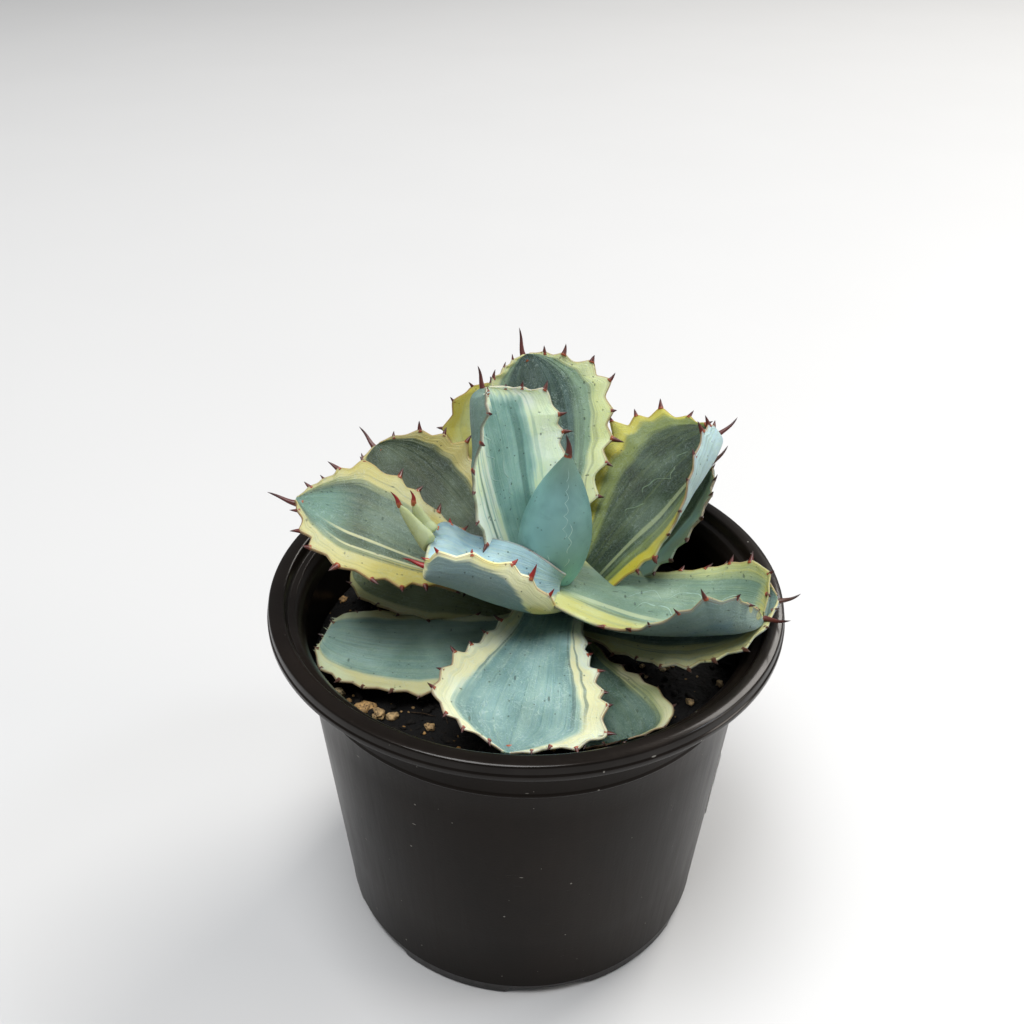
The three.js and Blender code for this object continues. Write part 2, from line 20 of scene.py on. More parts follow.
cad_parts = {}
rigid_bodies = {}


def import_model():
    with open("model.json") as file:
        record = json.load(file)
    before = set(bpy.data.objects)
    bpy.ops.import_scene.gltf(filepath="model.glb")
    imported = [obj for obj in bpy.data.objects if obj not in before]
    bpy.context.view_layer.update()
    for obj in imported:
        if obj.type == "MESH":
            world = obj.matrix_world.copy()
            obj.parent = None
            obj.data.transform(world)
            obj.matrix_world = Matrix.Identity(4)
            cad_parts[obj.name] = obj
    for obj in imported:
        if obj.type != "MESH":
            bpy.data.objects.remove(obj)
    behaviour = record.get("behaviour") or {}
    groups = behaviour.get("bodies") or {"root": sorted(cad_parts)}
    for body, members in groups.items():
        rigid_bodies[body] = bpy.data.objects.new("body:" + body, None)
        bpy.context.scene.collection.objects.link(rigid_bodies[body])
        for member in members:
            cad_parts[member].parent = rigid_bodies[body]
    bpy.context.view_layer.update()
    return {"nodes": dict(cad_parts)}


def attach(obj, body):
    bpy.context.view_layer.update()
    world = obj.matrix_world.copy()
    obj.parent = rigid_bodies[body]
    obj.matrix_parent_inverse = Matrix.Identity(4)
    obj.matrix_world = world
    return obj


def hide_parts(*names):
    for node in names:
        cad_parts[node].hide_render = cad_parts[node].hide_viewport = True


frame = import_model()

log = logging.getLogger("agave")

Colour = tuple[float, float, float, float]
Triple = tuple[float, float, float]
Pair = tuple[float, float]
Socket = bpy.types.NodeSocket
Material = bpy.types.Material
Mesh = bmesh.types.BMesh
Spot = tuple[Vector, dict[str, object]]  # a point, and what each layer keeps there

# One millimetre in metres, and steps along things that taper
MILLIMETRE = 0.001
HORN_STEPS = 8
KNUCKLE_STEPS = 16
SPINE_STEPS = 10
HAIR_STEPS = 6


# ---- Colours and shader nodes


def tone(red: int, green: int, blue: int) -> Colour:
    """A colour as the eye names it, turned into the linear one that a shader takes.

    Args:
        red: Red, from 0 to 255.
        green: Green, from 0 to 255.
        blue: Blue, from 0 to 255.

    Returns:
        The linear colour with full alpha.
    """
    def linear(level: int) -> float:
        """One channel made linear."""
        share = level / 255
        return share / 12.92 if share <= 0.04045 else ((share + 0.055) / 1.055) ** 2.4

    return (linear(red), linear(green), linear(blue), 1.0)


class Bench:
    """Lays out the nodes of one material or of one group, from left to right."""

    def __init__(self, tree: bpy.types.NodeTree) -> None:
        """Starts on an empty tree."""
        self.tree = tree

    def feed(self, socket: Socket, value: object) -> None:
        """Links a socket to an input, or sets the input's own value.

        Args:
            socket: The input.
            value: Another node's output, or a plain value.
        """
        if isinstance(value, Socket):
            self.tree.links.new(value, socket)
        else:
            socket.default_value = value

    def dress(self, name: str, value: object) -> None:
        """Feeds one input of a material's shader."""
        self.feed(self.tree.nodes["Principled BSDF"].inputs[name], value)

    def node(self, kind: str, inputs: dict[int | str, object] | None = None, **settings: object) -> bpy.types.Node:
        """Adds a node.

        Args:
            kind: The node's type name.
            inputs: What each of its inputs gets, by name or number.
            settings: The node's own options.

        Returns:
            The new node.
        """
        made = self.tree.nodes.new(kind)
        for key, value in settings.items():
            setattr(made, key, value)
        for key, value in (inputs or {}).items():
            self.feed(made.inputs[key], value)
        return made

    def math(self, operation: str, first: object, second: object = 0.0) -> Socket:
        """One step of arithmetic, by its operation's name, such as ADD."""
        return self.node("ShaderNodeMath", {0: first, 1: second}, operation=operation).outputs[0]

    def times(self, first: object, second: object) -> Socket:
        """The product of two numbers."""
        return self.math("MULTIPLY", first, second)

    def plus(self, first: object, second: object) -> Socket:
        """The sum of two numbers."""
        return self.math("ADD", first, second)

    def less(self, first: object, second: object) -> Socket:
        """The first number less the second."""
        return self.math("SUBTRACT", first, second)

    def rest(self, share: object) -> Socket:
        """What a share leaves of 1."""
        return self.math("SUBTRACT", 1.0, share)

    def larger(self, first: object, second: object) -> Socket:
        """The larger of two numbers."""
        return self.math("MAXIMUM", first, second)

    def size(self, value: object) -> Socket:
        """A number without its sign."""
        return self.math("ABSOLUTE", value)

    def split(self, vector: object) -> Sequence[Socket]:
        """The three parts of a vector."""
        return self.node("ShaderNodeSeparateXYZ", {0: vector}).outputs

    def join(self, x: object, y: object, z: object = 0.0) -> Socket:
        """A vector made of three numbers."""
        return self.node("ShaderNodeCombineXYZ", {0: x, 1: y, 2: z}).outputs[0]

    def mix(self, share: object, first: object, second: object) -> Socket:
        """A blend of two colours: the first at a share of 0, and the second at 1."""
        made = self.node("ShaderNodeMix", {0: share, 6: first, 7: second}, data_type="RGBA")
        return made.outputs[2]

    def rise(self, value: object, low: object, high: object) -> Socket:
        """A soft step: 0 where the value is low, and 1 where it is high."""
        made = self.node("ShaderNodeMapRange", {0: value, 1: low, 2: high}, interpolation_type="SMOOTHSTEP")
        return made.outputs[0]

    def fall(self, value: object, low: object, high: object) -> Socket:
        """A soft step: 1 where the value is low, and 0 where it is high."""
        return self.rest(self.rise(value, low, high))

    def ramp(self, value: object, slope: object, start: object) -> Socket:
        """A value times a slope, and a start added."""
        return self.plus(self.times(value, slope), start)

    def tint(self, colour: object, mask: object, strength: object, paint: object) -> Socket:
        """A colour with a paint laid over it where a mask says, at a strength."""
        return self.mix(self.times(mask, strength), colour, paint)

    def dot(self, first: object, second: object) -> Socket:
        """The dot product of two vectors."""
        return self.node("ShaderNodeVectorMath", {0: first, 1: second}, operation="DOT_PRODUCT").outputs["Value"]

    def noise(
        self, place: object, scale: float, detail: float = 2.0, roughness: float = 0.5, swirl: float = 0.0
    ) -> Socket:
        """Cloudy noise, mostly between 0.3 and 0.7; detail adds finer layers, and swirl stirs it."""
        inputs = {"Vector": place, "Scale": scale, "Detail": detail, "Roughness": roughness, "Distortion": swirl}
        return self.node("ShaderNodeTexNoise", inputs).outputs[0]

    def stretch(self, place: object, scale: Triple, move: Triple = (0, 0, 0)) -> Socket:
        """Coordinates scaled by a different amount along each axis, and then slid."""
        return self.node("ShaderNodeMapping", {"Vector": place, "Scale": scale, "Location": move}).outputs[0]

    def spots(self, place: object, scale: float, size: float, share: float) -> Socket:
        """Scattered round spots.

        Args:
            place: The coordinates.
            scale: Cells to one unit of them.
            size: The spot's radius as a share of a cell.
            share: How many of the cells hold one.

        Returns:
            1 inside a spot, and 0 elsewhere.
        """
        cells = self.node("ShaderNodeTexVoronoi", {"Vector": place, "Scale": scale})
        inside = self.fall(cells.outputs["Distance"], size * 0.5, size)
        lot = self.node("ShaderNodeSeparateColor", {0: cells.outputs["Color"]}).outputs[0]
        return self.times(inside, self.math("LESS_THAN", lot, share))

    def bump(self, height: object, distance: float, strength: float = 1.0, normal: object = None) -> object:
        """Relief from a height.

        Args:
            height: The height, as a share of the distance.
            distance: The full height, in metres.
            strength: How much of it shows.
            normal: An earlier relief that this one lies on.

        Returns:
            The bent normal.
        """
        inputs = {"Height": height, "Distance": distance, "Strength": strength}
        if normal is not None:
            inputs["Normal"] = normal
        return self.node("ShaderNodeBump", inputs).outputs[0]

    def objects(self) -> Socket:
        """Object coordinates, in metres."""
        return self.node("ShaderNodeTexCoord").outputs["Object"]

    def layer(self, name: str, output: str = "Vector") -> Socket:
        """What a mesh keeps under a name at each of its points."""
        return self.node("ShaderNodeAttribute", attribute_name=name).outputs[output]


class Effect:
    """A shared shader group with its own inputs and outputs."""

    def __init__(
        self, name: str, takes: dict[str, float | None], gives: Sequence[str], build: Callable[..., dict]
    ) -> None:
        """Builds the group.

        Args:
            name: The group's name.
            takes: Its inputs; None is a vector and a number is the start value of a plain input.
            gives: Its outputs, all plain numbers.
            build: Lays out the inside from the bench and the inputs, and returns what each output gets.
        """
        self.tree = bpy.data.node_groups.new(name, "ShaderNodeTree")
        for key, start in takes.items():
            kind = "NodeSocketVector" if start is None else "NodeSocketFloat"
            socket = self.tree.interface.new_socket(key, in_out="INPUT", socket_type=kind)
            if start is not None:
                socket.default_value = start
        for key in gives:
            self.tree.interface.new_socket(key, in_out="OUTPUT", socket_type="NodeSocketFloat")
        bench = Bench(self.tree)
        entry = bench.node("NodeGroupInput")
        leaving = bench.node("NodeGroupOutput")
        for key, value in build(bench, **{key.lower(): entry.outputs[key] for key in takes}).items():
            bench.feed(leaving.inputs[key], value)

    def on(self, bench: Bench, **inputs: object) -> bpy.types.bpy_prop_collection:
        """Uses the group on a bench.

        Args:
            bench: Where it is put.
            inputs: What its inputs get.

        Returns:
            The outputs of the group's node.
        """
        made = bench.node("ShaderNodeGroup", node_tree=self.tree)
        for key, value in inputs.items():
            bench.feed(made.inputs[key.capitalize()], value)
        return made.outputs


def blank(name: str) -> tuple[Material, Bench]:
    """A new material with only its shader and output.

    Args:
        name: The material's name.

    Returns:
        The material, and a bench on its nodes.
    """
    material = bpy.data.materials.new(name)
    material.use_nodes = True
    return material, Bench(material.node_tree)


# ---- Effects shared by the leaves and the bud. "Blade" is (share of the length, side from -1 to 1, 1 underneath)


def lay_variegation(
    bench: Bench, blade: Socket, seed: Socket, left: Socket, right: Socket, band: Socket, wobble: Socket,
    rim: Socket
) -> dict[str, Socket]:
    """The pale margins of a leaf, wider or narrower along each side, with a half-pale band inside them.

    Args:
        bench: The group's bench.
        blade: The place on the leaf.
        seed: Shifts the noise.
        left: The left margin's width at the foot, the middle and the tip, as shares of the half width.
        right: The same for the right margin.
        band: The width of the half-pale band.
        wobble: How unsteady the boundary is.
        rim: How far the margin goes round the end of the blade, from 0 to 1.

    Returns:
        The masks of the margin and of the band.
    """
    share, across, _ = bench.split(blade)
    back = bench.rest(share)
    turned = bench.rest(bench.times(share, 2.0))
    foot = bench.times(back, turned)
    middle = bench.times(bench.times(share, back), 4.0)
    tip = bench.times(bench.times(share, turned), -1.0)
    weights = bench.join(foot, middle, tip)
    side = bench.math("GREATER_THAN", across, 0.0)
    on_right = bench.dot(right, weights)
    spread = bench.times(bench.less(bench.dot(left, weights), on_right), side)
    width = bench.plus(on_right, spread)
    lane = bench.plus(seed, bench.times(side, 7.3))
    row = bench.join(share, lane)
    drift = bench.less(bench.noise(row, 2.6, 3.0, 0.45), 0.5)
    lines = bench.join(share, bench.times(across, 14.0), lane)
    feather = bench.less(bench.noise(lines, 1.6, 2.0, 0.5), 0.5)
    unsteady = bench.times(drift, wobble)
    unsteady = bench.plus(unsteady, bench.times(feather, 0.14))
    edge = bench.plus(bench.rest(width), unsteady)
    inner = bench.less(edge, band)
    ended = bench.rest(bench.times(back, 4.0))
    reach = bench.larger(bench.size(across), bench.times(ended, rim))
    margin = bench.rise(reach, edge, bench.plus(edge, 0.08))
    return {"Margin": margin, "Band": bench.rise(reach, inner, bench.plus(inner, 0.12))}


def lay_streaks(bench: Bench, blade: Socket, seed: Socket, count: Socket) -> dict[str, Socket]:
    """Broken streaks that run along the leaf.

    Args:
        bench: The group's bench.
        blade: The place on the leaf.
        seed: Shifts the noise.
        count: Streaks across one half.

    Returns:
        The wide streaks, the fine ones, broad patches along the leaf, and a slow flow over its middle.
    """
    share, across, _ = bench.split(blade)
    lanes = bench.times(across, count)
    place = bench.join(share, lanes, seed)
    wide = bench.rise(bench.noise(place, 1.3, 1.5, 0.4), 0.55, 0.64)
    fine = bench.noise(bench.stretch(place, (1.0, 7.0, 1.0)), 2.0, 3.0, 0.6)
    patch = bench.rise(bench.noise(bench.stretch(place, (3.2, 0.22, 1.0)), 1.0, 1.5), 0.4, 0.62)
    flow = bench.noise(bench.stretch(place, (0.8, 0.6, 1.0), (3.0, 1.0, 7.0)), 2.0, 4.0, 0.6, 0.6)
    return {"Streaks": wide, "Fine": fine, "Patch": patch, "Flow": flow}


def lay_stripe(
    bench: Bench, blade: Socket, seed: Socket, place: Socket, width: Socket, start: Socket, end: Socket
) -> dict[str, Socket]:
    """One stripe along the leaf, with feathered ends.

    Args:
        bench: The group's bench.
        blade: The place on the leaf.
        seed: Shifts the noise.
        place: Where it lies across the blade.
        width: Its half width.
        start: Where it starts along the leaf.
        end: Where it ends.

    Returns:
        Its mask.
    """
    share, across, _ = bench.split(blade)
    row = bench.join(share, seed)
    drift = bench.times(bench.less(bench.noise(row, 2.2, 1.0), 0.5), 0.14)
    off = bench.less(bench.plus(across, drift), place)
    off = bench.size(off)
    breath = bench.ramp(bench.noise(row, 5.0, 2.0), 0.8, 0.6)
    broad = bench.times(width, breath)
    core = bench.fall(off, bench.times(broad, 0.5), broad)
    head = bench.rise(share, start, bench.plus(start, 0.16))
    tail = bench.fall(share, bench.less(end, 0.16), end)
    return {"Mask": bench.times(core, bench.times(head, tail))}


def lay_imprint(
    bench: Bench, blade: Socket, place: Socket, swing: Socket, waves: Socket, start: Socket, end: Socket,
    width: Socket
) -> dict[str, Socket]:
    """The pale scar that a neighbour's toothed edge pressed into the leaf in the bud: arcs that meet in cusps.

    Args:
        bench: The group's bench.
        blade: The place on the leaf.
        place: Where it lies across the blade.
        swing: How far its arcs bulge.
        waves: Half as many arcs as there are to the whole length.
        start: Where it starts along the leaf.
        end: Where it ends.
        width: The line's half width.

    Returns:
        Its mask.
    """
    share, across, _ = bench.split(blade)
    row = bench.join(share, place)
    turn = bench.times(bench.times(share, waves), 2 * math.pi)
    turn = bench.plus(turn, bench.times(bench.noise(row, 6.0, 1.0), 5.0))
    arc = bench.times(bench.size(bench.math("SINE", turn)), swing)
    sway = bench.times(bench.less(bench.noise(row, 3.0, 1.0), 0.5), 0.5)
    line = bench.plus(place, bench.plus(arc, bench.times(sway, swing)))
    off = bench.size(bench.less(across, line))
    core = bench.fall(off, bench.times(width, 0.3), width)
    head = bench.rise(share, start, bench.plus(start, 0.03))
    tail = bench.fall(share, bench.less(end, 0.03), end)
    worn = bench.rise(bench.noise(row, 22.0, 1.0), 0.3, 0.5)
    mask = bench.times(core, bench.times(head, tail))
    return {"Mask": bench.times(mask, worn)}


def lay_bloom(bench: Bench, place: Socket) -> dict[str, Socket]:
    """The wax on the skin: cloudy, finely wrinkled, pitted, crazed, and rubbed through in small marks.

    Args:
        bench: The group's bench.
        place: Object coordinates, in metres.

    Returns:
        The cloud, the grain, the rubbed places, the dark marks and the crazing.
    """
    cloud = bench.noise(place, 62.0, 3.0, 0.55)
    grain = bench.noise(place, 900.0, 2.0, 0.6, 2.2)
    rubbed = bench.rise(bench.noise(place, 190.0, 3.0, 0.6, 0.8), 0.6, 0.74)
    marks = bench.spots(bench.stretch(place, (1.0, 0.35, 0.7)), 330.0, 0.14, 0.36)
    dashes = bench.spots(bench.stretch(place, (0.26, 1.0, 0.8)), 420.0, 0.13, 0.34)
    pits = bench.spots(place, 700.0, 0.25, 0.12)
    marks = bench.larger(marks, bench.larger(dashes, pits))
    folds = bench.size(bench.less(bench.noise(place, 420.0, 2.0, 0.5, 1.2), 0.5))
    crazing = bench.fall(folds, 0.006, 0.034)
    crazing = bench.times(crazing, bench.rise(bench.noise(place, 120.0, 2.0), 0.3, 0.6))
    return {"Cloud": cloud, "Grain": grain, "Rubbed": rubbed, "Marks": marks, "Crazing": crazing}


class Effects:
    """The groups that the leaves and the bud share."""

    def __init__(self) -> None:
        """Builds each group once."""
        self.variegation = Effect(
            "pale_margins",
            {"Blade": None, "Seed": 0, "Left": None, "Right": None, "Band": 0.1, "Wobble": 0.3, "Rim": 0},
            ("Margin", "Band"), lay_variegation)
        self.streaks = Effect(
            "long_streaks", {"Blade": None, "Seed": 0, "Count": 9}, ("Streaks", "Fine", "Patch", "Flow"),
            lay_streaks)
        self.stripe = Effect(
            "single_stripe", {"Blade": None, "Seed": 0, "Place": 0, "Width": 0.05, "Start": 0, "End": 1},
            ("Mask",), lay_stripe)
        self.imprint = Effect(
            "bud_imprint",
            {"Blade": None, "Place": 0, "Swing": 0.1, "Waves": 4, "Start": 0.3, "End": 0.7, "Width": 0.02},
            ("Mask",), lay_imprint)
        self.bloom = Effect(
            "wax_bloom", {"Place": None}, ("Cloud", "Grain", "Rubbed", "Marks", "Crazing"), lay_bloom)


# ---- Finishes


@dataclass(frozen=True)
class Stripe:
    """A stripe along a leaf: where it lies across the blade, its half width, its ends, and its colour."""

    place: float
    width: float
    start: float
    end: float
    colour: Colour


@dataclass(frozen=True)
class Imprint:
    """A wavy scar: where it lies across the blade, how far it swings, its waves to the length, and its ends."""

    place: float
    swing: float
    waves: float
    start: float
    end: float
    width: float = 0.022


@dataclass(frozen=True)
class LeafFinish:
    """The colours and markings of a leaf.

    left and right are the widths of the pale margins at the foot, the middle and the tip, as shares of the
    half width, left being the left half as seen from the crown. pale_under is how much of them shows
    underneath, crazing how much the wax is crazed, rim how far the margins go round the end, striae how
    strongly the skin is lined lengthwise, and scar the colour of its imprints.
    """

    centre: Colour
    deep: Colour
    band: Colour
    margin: Colour
    warm: Colour
    under: Colour
    left: Triple = (0.2, 0.28, 0.2)
    right: Triple = (0.2, 0.28, 0.2)
    band_width: float = 0.06
    wobble: float = 0.35
    streaks: float = 0.4
    pale_under: float = 0.12
    crazing: float = 0.2
    rim: float = 0.7
    striae: float = 0.12
    scar: Colour = tone(178, 206, 196)
    stripes: tuple[Stripe, ...] = ()
    imprints: tuple[Imprint, ...] = ()
    roughness: float = 0.46

    def material(self, name: str, seed: float, effects: Effects) -> Material:
        """Builds the leaf's material.

        Args:
            name: The material's name.
            seed: Shifts its noise, so that no two leaves are alike.
            effects: The shared groups.

        Returns:
            The material.
        """
        material, bench = blank(name)
        blade = bench.layer("blade")
        _, across, depth = bench.split(blade)
        bloom = effects.bloom.on(bench, place=bench.objects())
        cloud = bench.rise(bloom["Cloud"], 0.34, 0.66)
        edges = effects.variegation.on(
            bench, blade=blade, seed=seed, left=self.left, right=self.right, band=self.band_width,
            wobble=self.wobble, rim=self.rim)
        lines = effects.streaks.on(bench, blade=blade, seed=seed, count=9.0)
        core = bench.mix(cloud, self.deep, self.centre)
        core = bench.tint(core, lines["Fine"], self.striae, self.deep)
        core = bench.tint(core, bloom["Rubbed"], 0.35, self.deep)
        flow = bench.rise(lines["Flow"], 0.44, 0.62)
        core = bench.tint(core, flow, 0.16, self.band)
        pale = bench.mix(lines["Patch"], self.margin, self.warm)
        pale = bench.tint(pale, bench.rise(lines["Fine"], 0.45, 0.75), 0.12, self.band)
        pale = bench.tint(pale, bloom["Rubbed"], 0.25, self.band)
        colour = bench.mix(edges["Band"], core, self.band)
        colour = bench.mix(edges["Margin"], colour, pale)
        shade = bench.times(lines["Streaks"], self.streaks)
        shade = bench.times(shade, edges["Band"])
        outer = bench.rise(bench.size(across), 0.86, 0.98)
        shade = bench.times(shade, bench.rest(outer))
        colour = bench.mix(shade, colour, core)
        for place, stripe in enumerate(self.stripes):
            mask = effects.stripe.on(
                bench, blade=blade, seed=seed + place, place=stripe.place, width=stripe.width,
                start=stripe.start, end=stripe.end)[0]
            colour = bench.tint(colour, mask, 0.7, stripe.colour)
        under = bench.mix(bench.rise(lines["Fine"], 0.3, 0.7), self.under, self.deep)
        under = bench.mix(bench.ramp(cloud, 0.3, 0.5), under, self.under)
        thin = bench.times(edges["Margin"], self.pale_under)
        colour = bench.mix(depth, colour, bench.mix(thin, under, pale))
        mottle = bench.times(bench.rise(bloom["Cloud"], 0.5, 0.7), 0.14)
        colour = bench.tint(colour, mottle, lines["Fine"], tone(206, 224, 216))
        relief = bloom["Grain"]
        for imprint in self.imprints:
            mask = effects.imprint.on(bench, blade=blade, **asdict(imprint))[0]
            mask = bench.times(mask, bench.rest(depth))
            colour = bench.tint(colour, mask, 0.5, self.scar)
            relief = bench.plus(relief, bench.times(mask, 2.0))
        colour = bench.tint(colour, bloom["Crazing"], self.crazing, tone(196, 216, 210))
        colour = bench.tint(colour, bloom["Marks"], 0.6, tone(48, 64, 54))
        speck = bench.times(bench.rise(bloom["Grain"], 0.42, 0.62), 0.05)
        colour = bench.mix(speck, colour, tone(190, 214, 206))
        seam = bench.rise(bench.size(across), 0.965, 0.998)
        seam = bench.times(seam, bench.rise(lines["Fine"], 0.36, 0.56))
        colour = bench.tint(colour, seam, 0.6, tone(124, 74, 48))
        bench.dress("Base Color", colour)
        gloss = bench.times(bench.less(cloud, bloom["Rubbed"]), 0.12)
        bench.dress("Roughness", bench.plus(gloss, self.roughness))
        bench.dress("Specular IOR Level", 0.32)
        bench.dress("Subsurface Weight", 0.3)
        bench.dress("Subsurface Radius", (0.0024, 0.0022, 0.0008))
        bench.dress("Subsurface Scale", 1.0)
        normal = bench.bump(relief, 0.00014, 0.8)
        normal = bench.bump(bloom["Crazing"], 0.0001, 0.6, normal)
        normal = bench.bump(lines["Fine"], 0.00015 + 0.0005 * self.striae, 0.6, normal)
        normal = bench.bump(lines["Flow"], 0.0012, 0.5, normal)
        normal = bench.bump(bloom["Marks"], -0.0002, 0.9, normal)
        bench.dress("Normal", normal)
        return material


@dataclass(frozen=True)
class HornFinish:
    """The horn of the teeth and spines, from a pale root through its own colour to a dark point."""

    root: Colour
    body: Colour
    point: Colour

    def material(self, name: str) -> Material:
        """Builds the horn's material.

        Args:
            name: The material's name.

        Returns:
            The material.
        """
        material, bench = blank(name)
        share = bench.layer("horn", "Fac")
        grain = bench.noise(bench.objects(), 1100.0, 3.0, 0.6)
        shift = bench.plus(share, bench.times(bench.less(grain, 0.5), 0.3))
        colour = bench.mix(bench.rise(shift, 0.02, 0.3), self.root, self.body)
        colour = bench.mix(bench.rise(shift, 0.45, 1.0), colour, self.point)
        bench.dress("Base Color", colour)
        bench.dress("Roughness", bench.ramp(grain, 0.3, 0.25))
        bench.dress("Normal", bench.bump(grain, 0.0001, 0.6))
        return material


class Horn(Enum):
    """The three ages of horn on the plant."""

    FRESH = HornFinish(tone(196, 112, 70), tone(146, 34, 30), tone(98, 22, 22))
    RIPE = HornFinish(tone(156, 78, 44), tone(84, 32, 25), tone(44, 20, 18))
    OLD = HornFinish(tone(132, 98, 68), tone(82, 50, 38), tone(52, 40, 36))


@dataclass(frozen=True)
class PotPlastic:
    """Thin black polypropylene, satin, with scuffs and dust from the potting bench, and a warm cast of painted
    reflection.
    """

    # Painted reflection: the warm brown in this black and in the cloud's black stands in for warm surroundings.
    body: Colour = tone(15, 11, 8)
    worn: Colour = tone(50, 44, 39)
    dust: Colour = tone(150, 146, 138)

    def material(self) -> Material:
        """Builds the plastic.

        Returns:
            The material.
        """
        material, bench = blank("pot_black_plastic")
        place = bench.objects()
        cloud = bench.noise(place, 22.0, 4.0, 0.6)
        drawn = bench.noise(bench.stretch(place, (420.0, 420.0, 16.0)), 1.0, 3.0, 0.6)
        peel = bench.noise(place, 1300.0, 2.0, 0.5)
        scuffs = bench.rise(bench.noise(bench.stretch(place, (1.0, 1.0, 5.5)), 95.0, 4.0, 0.7, 1.2), 0.68, 0.76)
        dust = bench.spots(place, 150.0, 0.06, 0.5)
        lint = bench.spots(bench.stretch(place, (1.0, 1.0, 3.5)), 60.0, 0.05, 0.3)
        colour = bench.mix(bench.rise(cloud, 0.35, 0.7), self.body, tone(24, 18, 14))
        colour = bench.tint(colour, scuffs, 0.5, self.worn)
        specks = bench.larger(bench.larger(dust, lint), bench.spots(place, 340.0, 0.07, 0.1))
        colour = bench.tint(colour, specks, 0.75, self.dust)
        bench.dress("Base Color", colour)
        rough = bench.ramp(cloud, 0.16, 0.17)
        rough = bench.plus(rough, bench.times(drawn, 0.14))
        rough = bench.plus(rough, bench.times(bench.larger(scuffs, specks), 0.3))
        bench.dress("Roughness", rough)
        bench.dress("IOR", 1.49)
        bench.dress("Specular IOR Level", 0.1)
        # Painted reflection: the warm specular tint colours the reflections as if warm brown surroundings were near.
        bench.dress("Specular Tint", (1.0, 0.86, 0.76, 1.0))
        height = bench.split(place)[2]
        polish = bench.times(bench.rise(height, 0.117, 0.1182), bench.times(cloud, 0.7))
        bench.dress("Coat Weight", polish)
        bench.dress("Coat Roughness", 0.13)
        normal = bench.bump(peel, 0.00003, 0.6)
        normal = bench.bump(drawn, 0.00008, 0.5, normal)
        normal = bench.bump(scuffs, -0.00005, 0.7, normal)
        bench.dress("Normal", normal)
        return material


@dataclass(frozen=True)
class SoilFinish:
    """Damp potting soil: nearly black, partly as painted shade, matt, with a few lighter fibres."""

    # Painted shade: the bed's darkest colour is darker than damp soil, for the shade under the leaves.
    wet: Colour = tone(9, 7, 6)
    dry: Colour = tone(44, 35, 27)

    def material(self, name: str, light: float = 1.0) -> Material:
        """Builds the soil.

        Args:
            name: The material's name.
            light: How much of the dry colour shows.

        Returns:
            The material.
        """
        material, bench = blank(name)
        place = bench.objects()
        crumb = bench.noise(place, 420.0, 5.0, 0.7)
        cloud = bench.noise(place, 60.0, 3.0, 0.6)
        dry = bench.times(bench.rise(crumb, 0.5, 0.75), bench.rise(cloud, 0.35, 0.7))
        colour = bench.tint(self.wet, dry, light, self.dry)
        colour = bench.mix(bench.spots(place, 420.0, 0.22, 0.2), colour, tone(128, 102, 62))
        bench.dress("Base Color", colour)
        bench.dress("Roughness", bench.ramp(crumb, 0.4, 0.55))
        bench.dress("Specular IOR Level", 0.3)
        bench.dress("Normal", bench.bump(crumb, 0.002, 1.0))
        return material


@dataclass(frozen=True)
class GritFinish:
    """Pumice and baked clay grains in one batch, each grain with its own tint."""

    pale: Colour = tone(206, 186, 142)
    tan: Colour = tone(182, 132, 66)

    def material(self) -> Material:
        """Builds the grit.

        Returns:
            The material.
        """
        material, bench = blank("pumice_grit")
        place = bench.objects()
        tint = bench.layer("tint", "Fac")
        pores = bench.spots(place, 1100.0, 0.36, 0.7)
        grain = bench.noise(place, 700.0, 4.0, 0.7)
        colour = bench.mix(tint, self.pale, self.tan)
        colour = bench.mix(bench.rise(grain, 0.42, 0.62), bench.mix(0.55, colour, tone(60, 46, 34)), colour)
        colour = bench.tint(colour, pores, 0.7, tone(52, 38, 26))
        bench.dress("Base Color", colour)
        bench.dress("Roughness", bench.ramp(grain, 0.3, 0.6))
        bench.dress("Normal", bench.bump(bench.less(grain, pores), 0.0004, 0.8))
        return material


@dataclass(frozen=True)
class LabelPaper:
    """A plain white paper sticker, a little soiled."""

    paper: Colour = tone(246, 246, 243)
    soiled: Colour = tone(204, 199, 186)

    def material(self) -> Material:
        """Builds the paper.

        Returns:
            The material.
        """
        material, bench = blank("plain_white_label")
        place = bench.objects()
        fibre = bench.noise(bench.stretch(place, (1.0, 1.0, 0.4)), 1600.0, 3.0, 0.6)
        cloud = bench.noise(place, 90.0, 4.0, 0.6)
        colour = bench.mix(bench.rise(cloud, 0.5, 0.75), self.paper, self.soiled)
        colour = bench.tint(colour, bench.rise(fibre, 0.5, 0.7), 0.2, tone(206, 203, 194))
        bench.dress("Base Color", colour)
        bench.dress("Roughness", bench.ramp(fibre, 0.3, 0.4))
        bench.dress("Normal", bench.bump(bench.plus(fibre, cloud), 0.00006, 0.7))
        return material


@dataclass(frozen=True)
class FloorFinish:
    """The plain pale surface that the plant stands on, which isn't part of it."""

    colour: Colour = tone(202, 201, 200)

    def material(self) -> Material:
        """Builds the floor's paint.

        Returns:
            The material.
        """
        material, bench = blank("pale_floor")
        cloud = bench.noise(bench.objects(), 6.0, 2.0)
        darker = tuple(0.97 * level for level in self.colour[:3]) + (1.0,)
        bench.dress("Base Color", bench.mix(cloud, self.colour, darker))
        bench.dress("Roughness", 0.6)
        return material


# ---- Shared shape work


def smooth(share: float) -> float:
    """An eased share, flat at 0 and at 1."""
    return share * share * (3 - 2 * share)


def draw(index: float, seed: float) -> float:
    """The part's own repeatable draw.

    Args:
        index: Which draw it is.
        seed: Which leaf it is for.

    Returns:
        A number between 0 and 1.
    """
    step, turn, spread = 12.9898, 78.233, 43758.5453
    value = math.sin(index * step + seed * turn) * spread
    return value - math.floor(value)


def along(three: Sequence[float], share: float) -> float:
    """The quadratic through three values at the foot, the middle and the tip."""
    foot, middle, tip = three
    return foot * (1 - share) * (1 - 2 * share) + middle * 4 * share * (1 - share) + tip * share * (2 * share - 1)


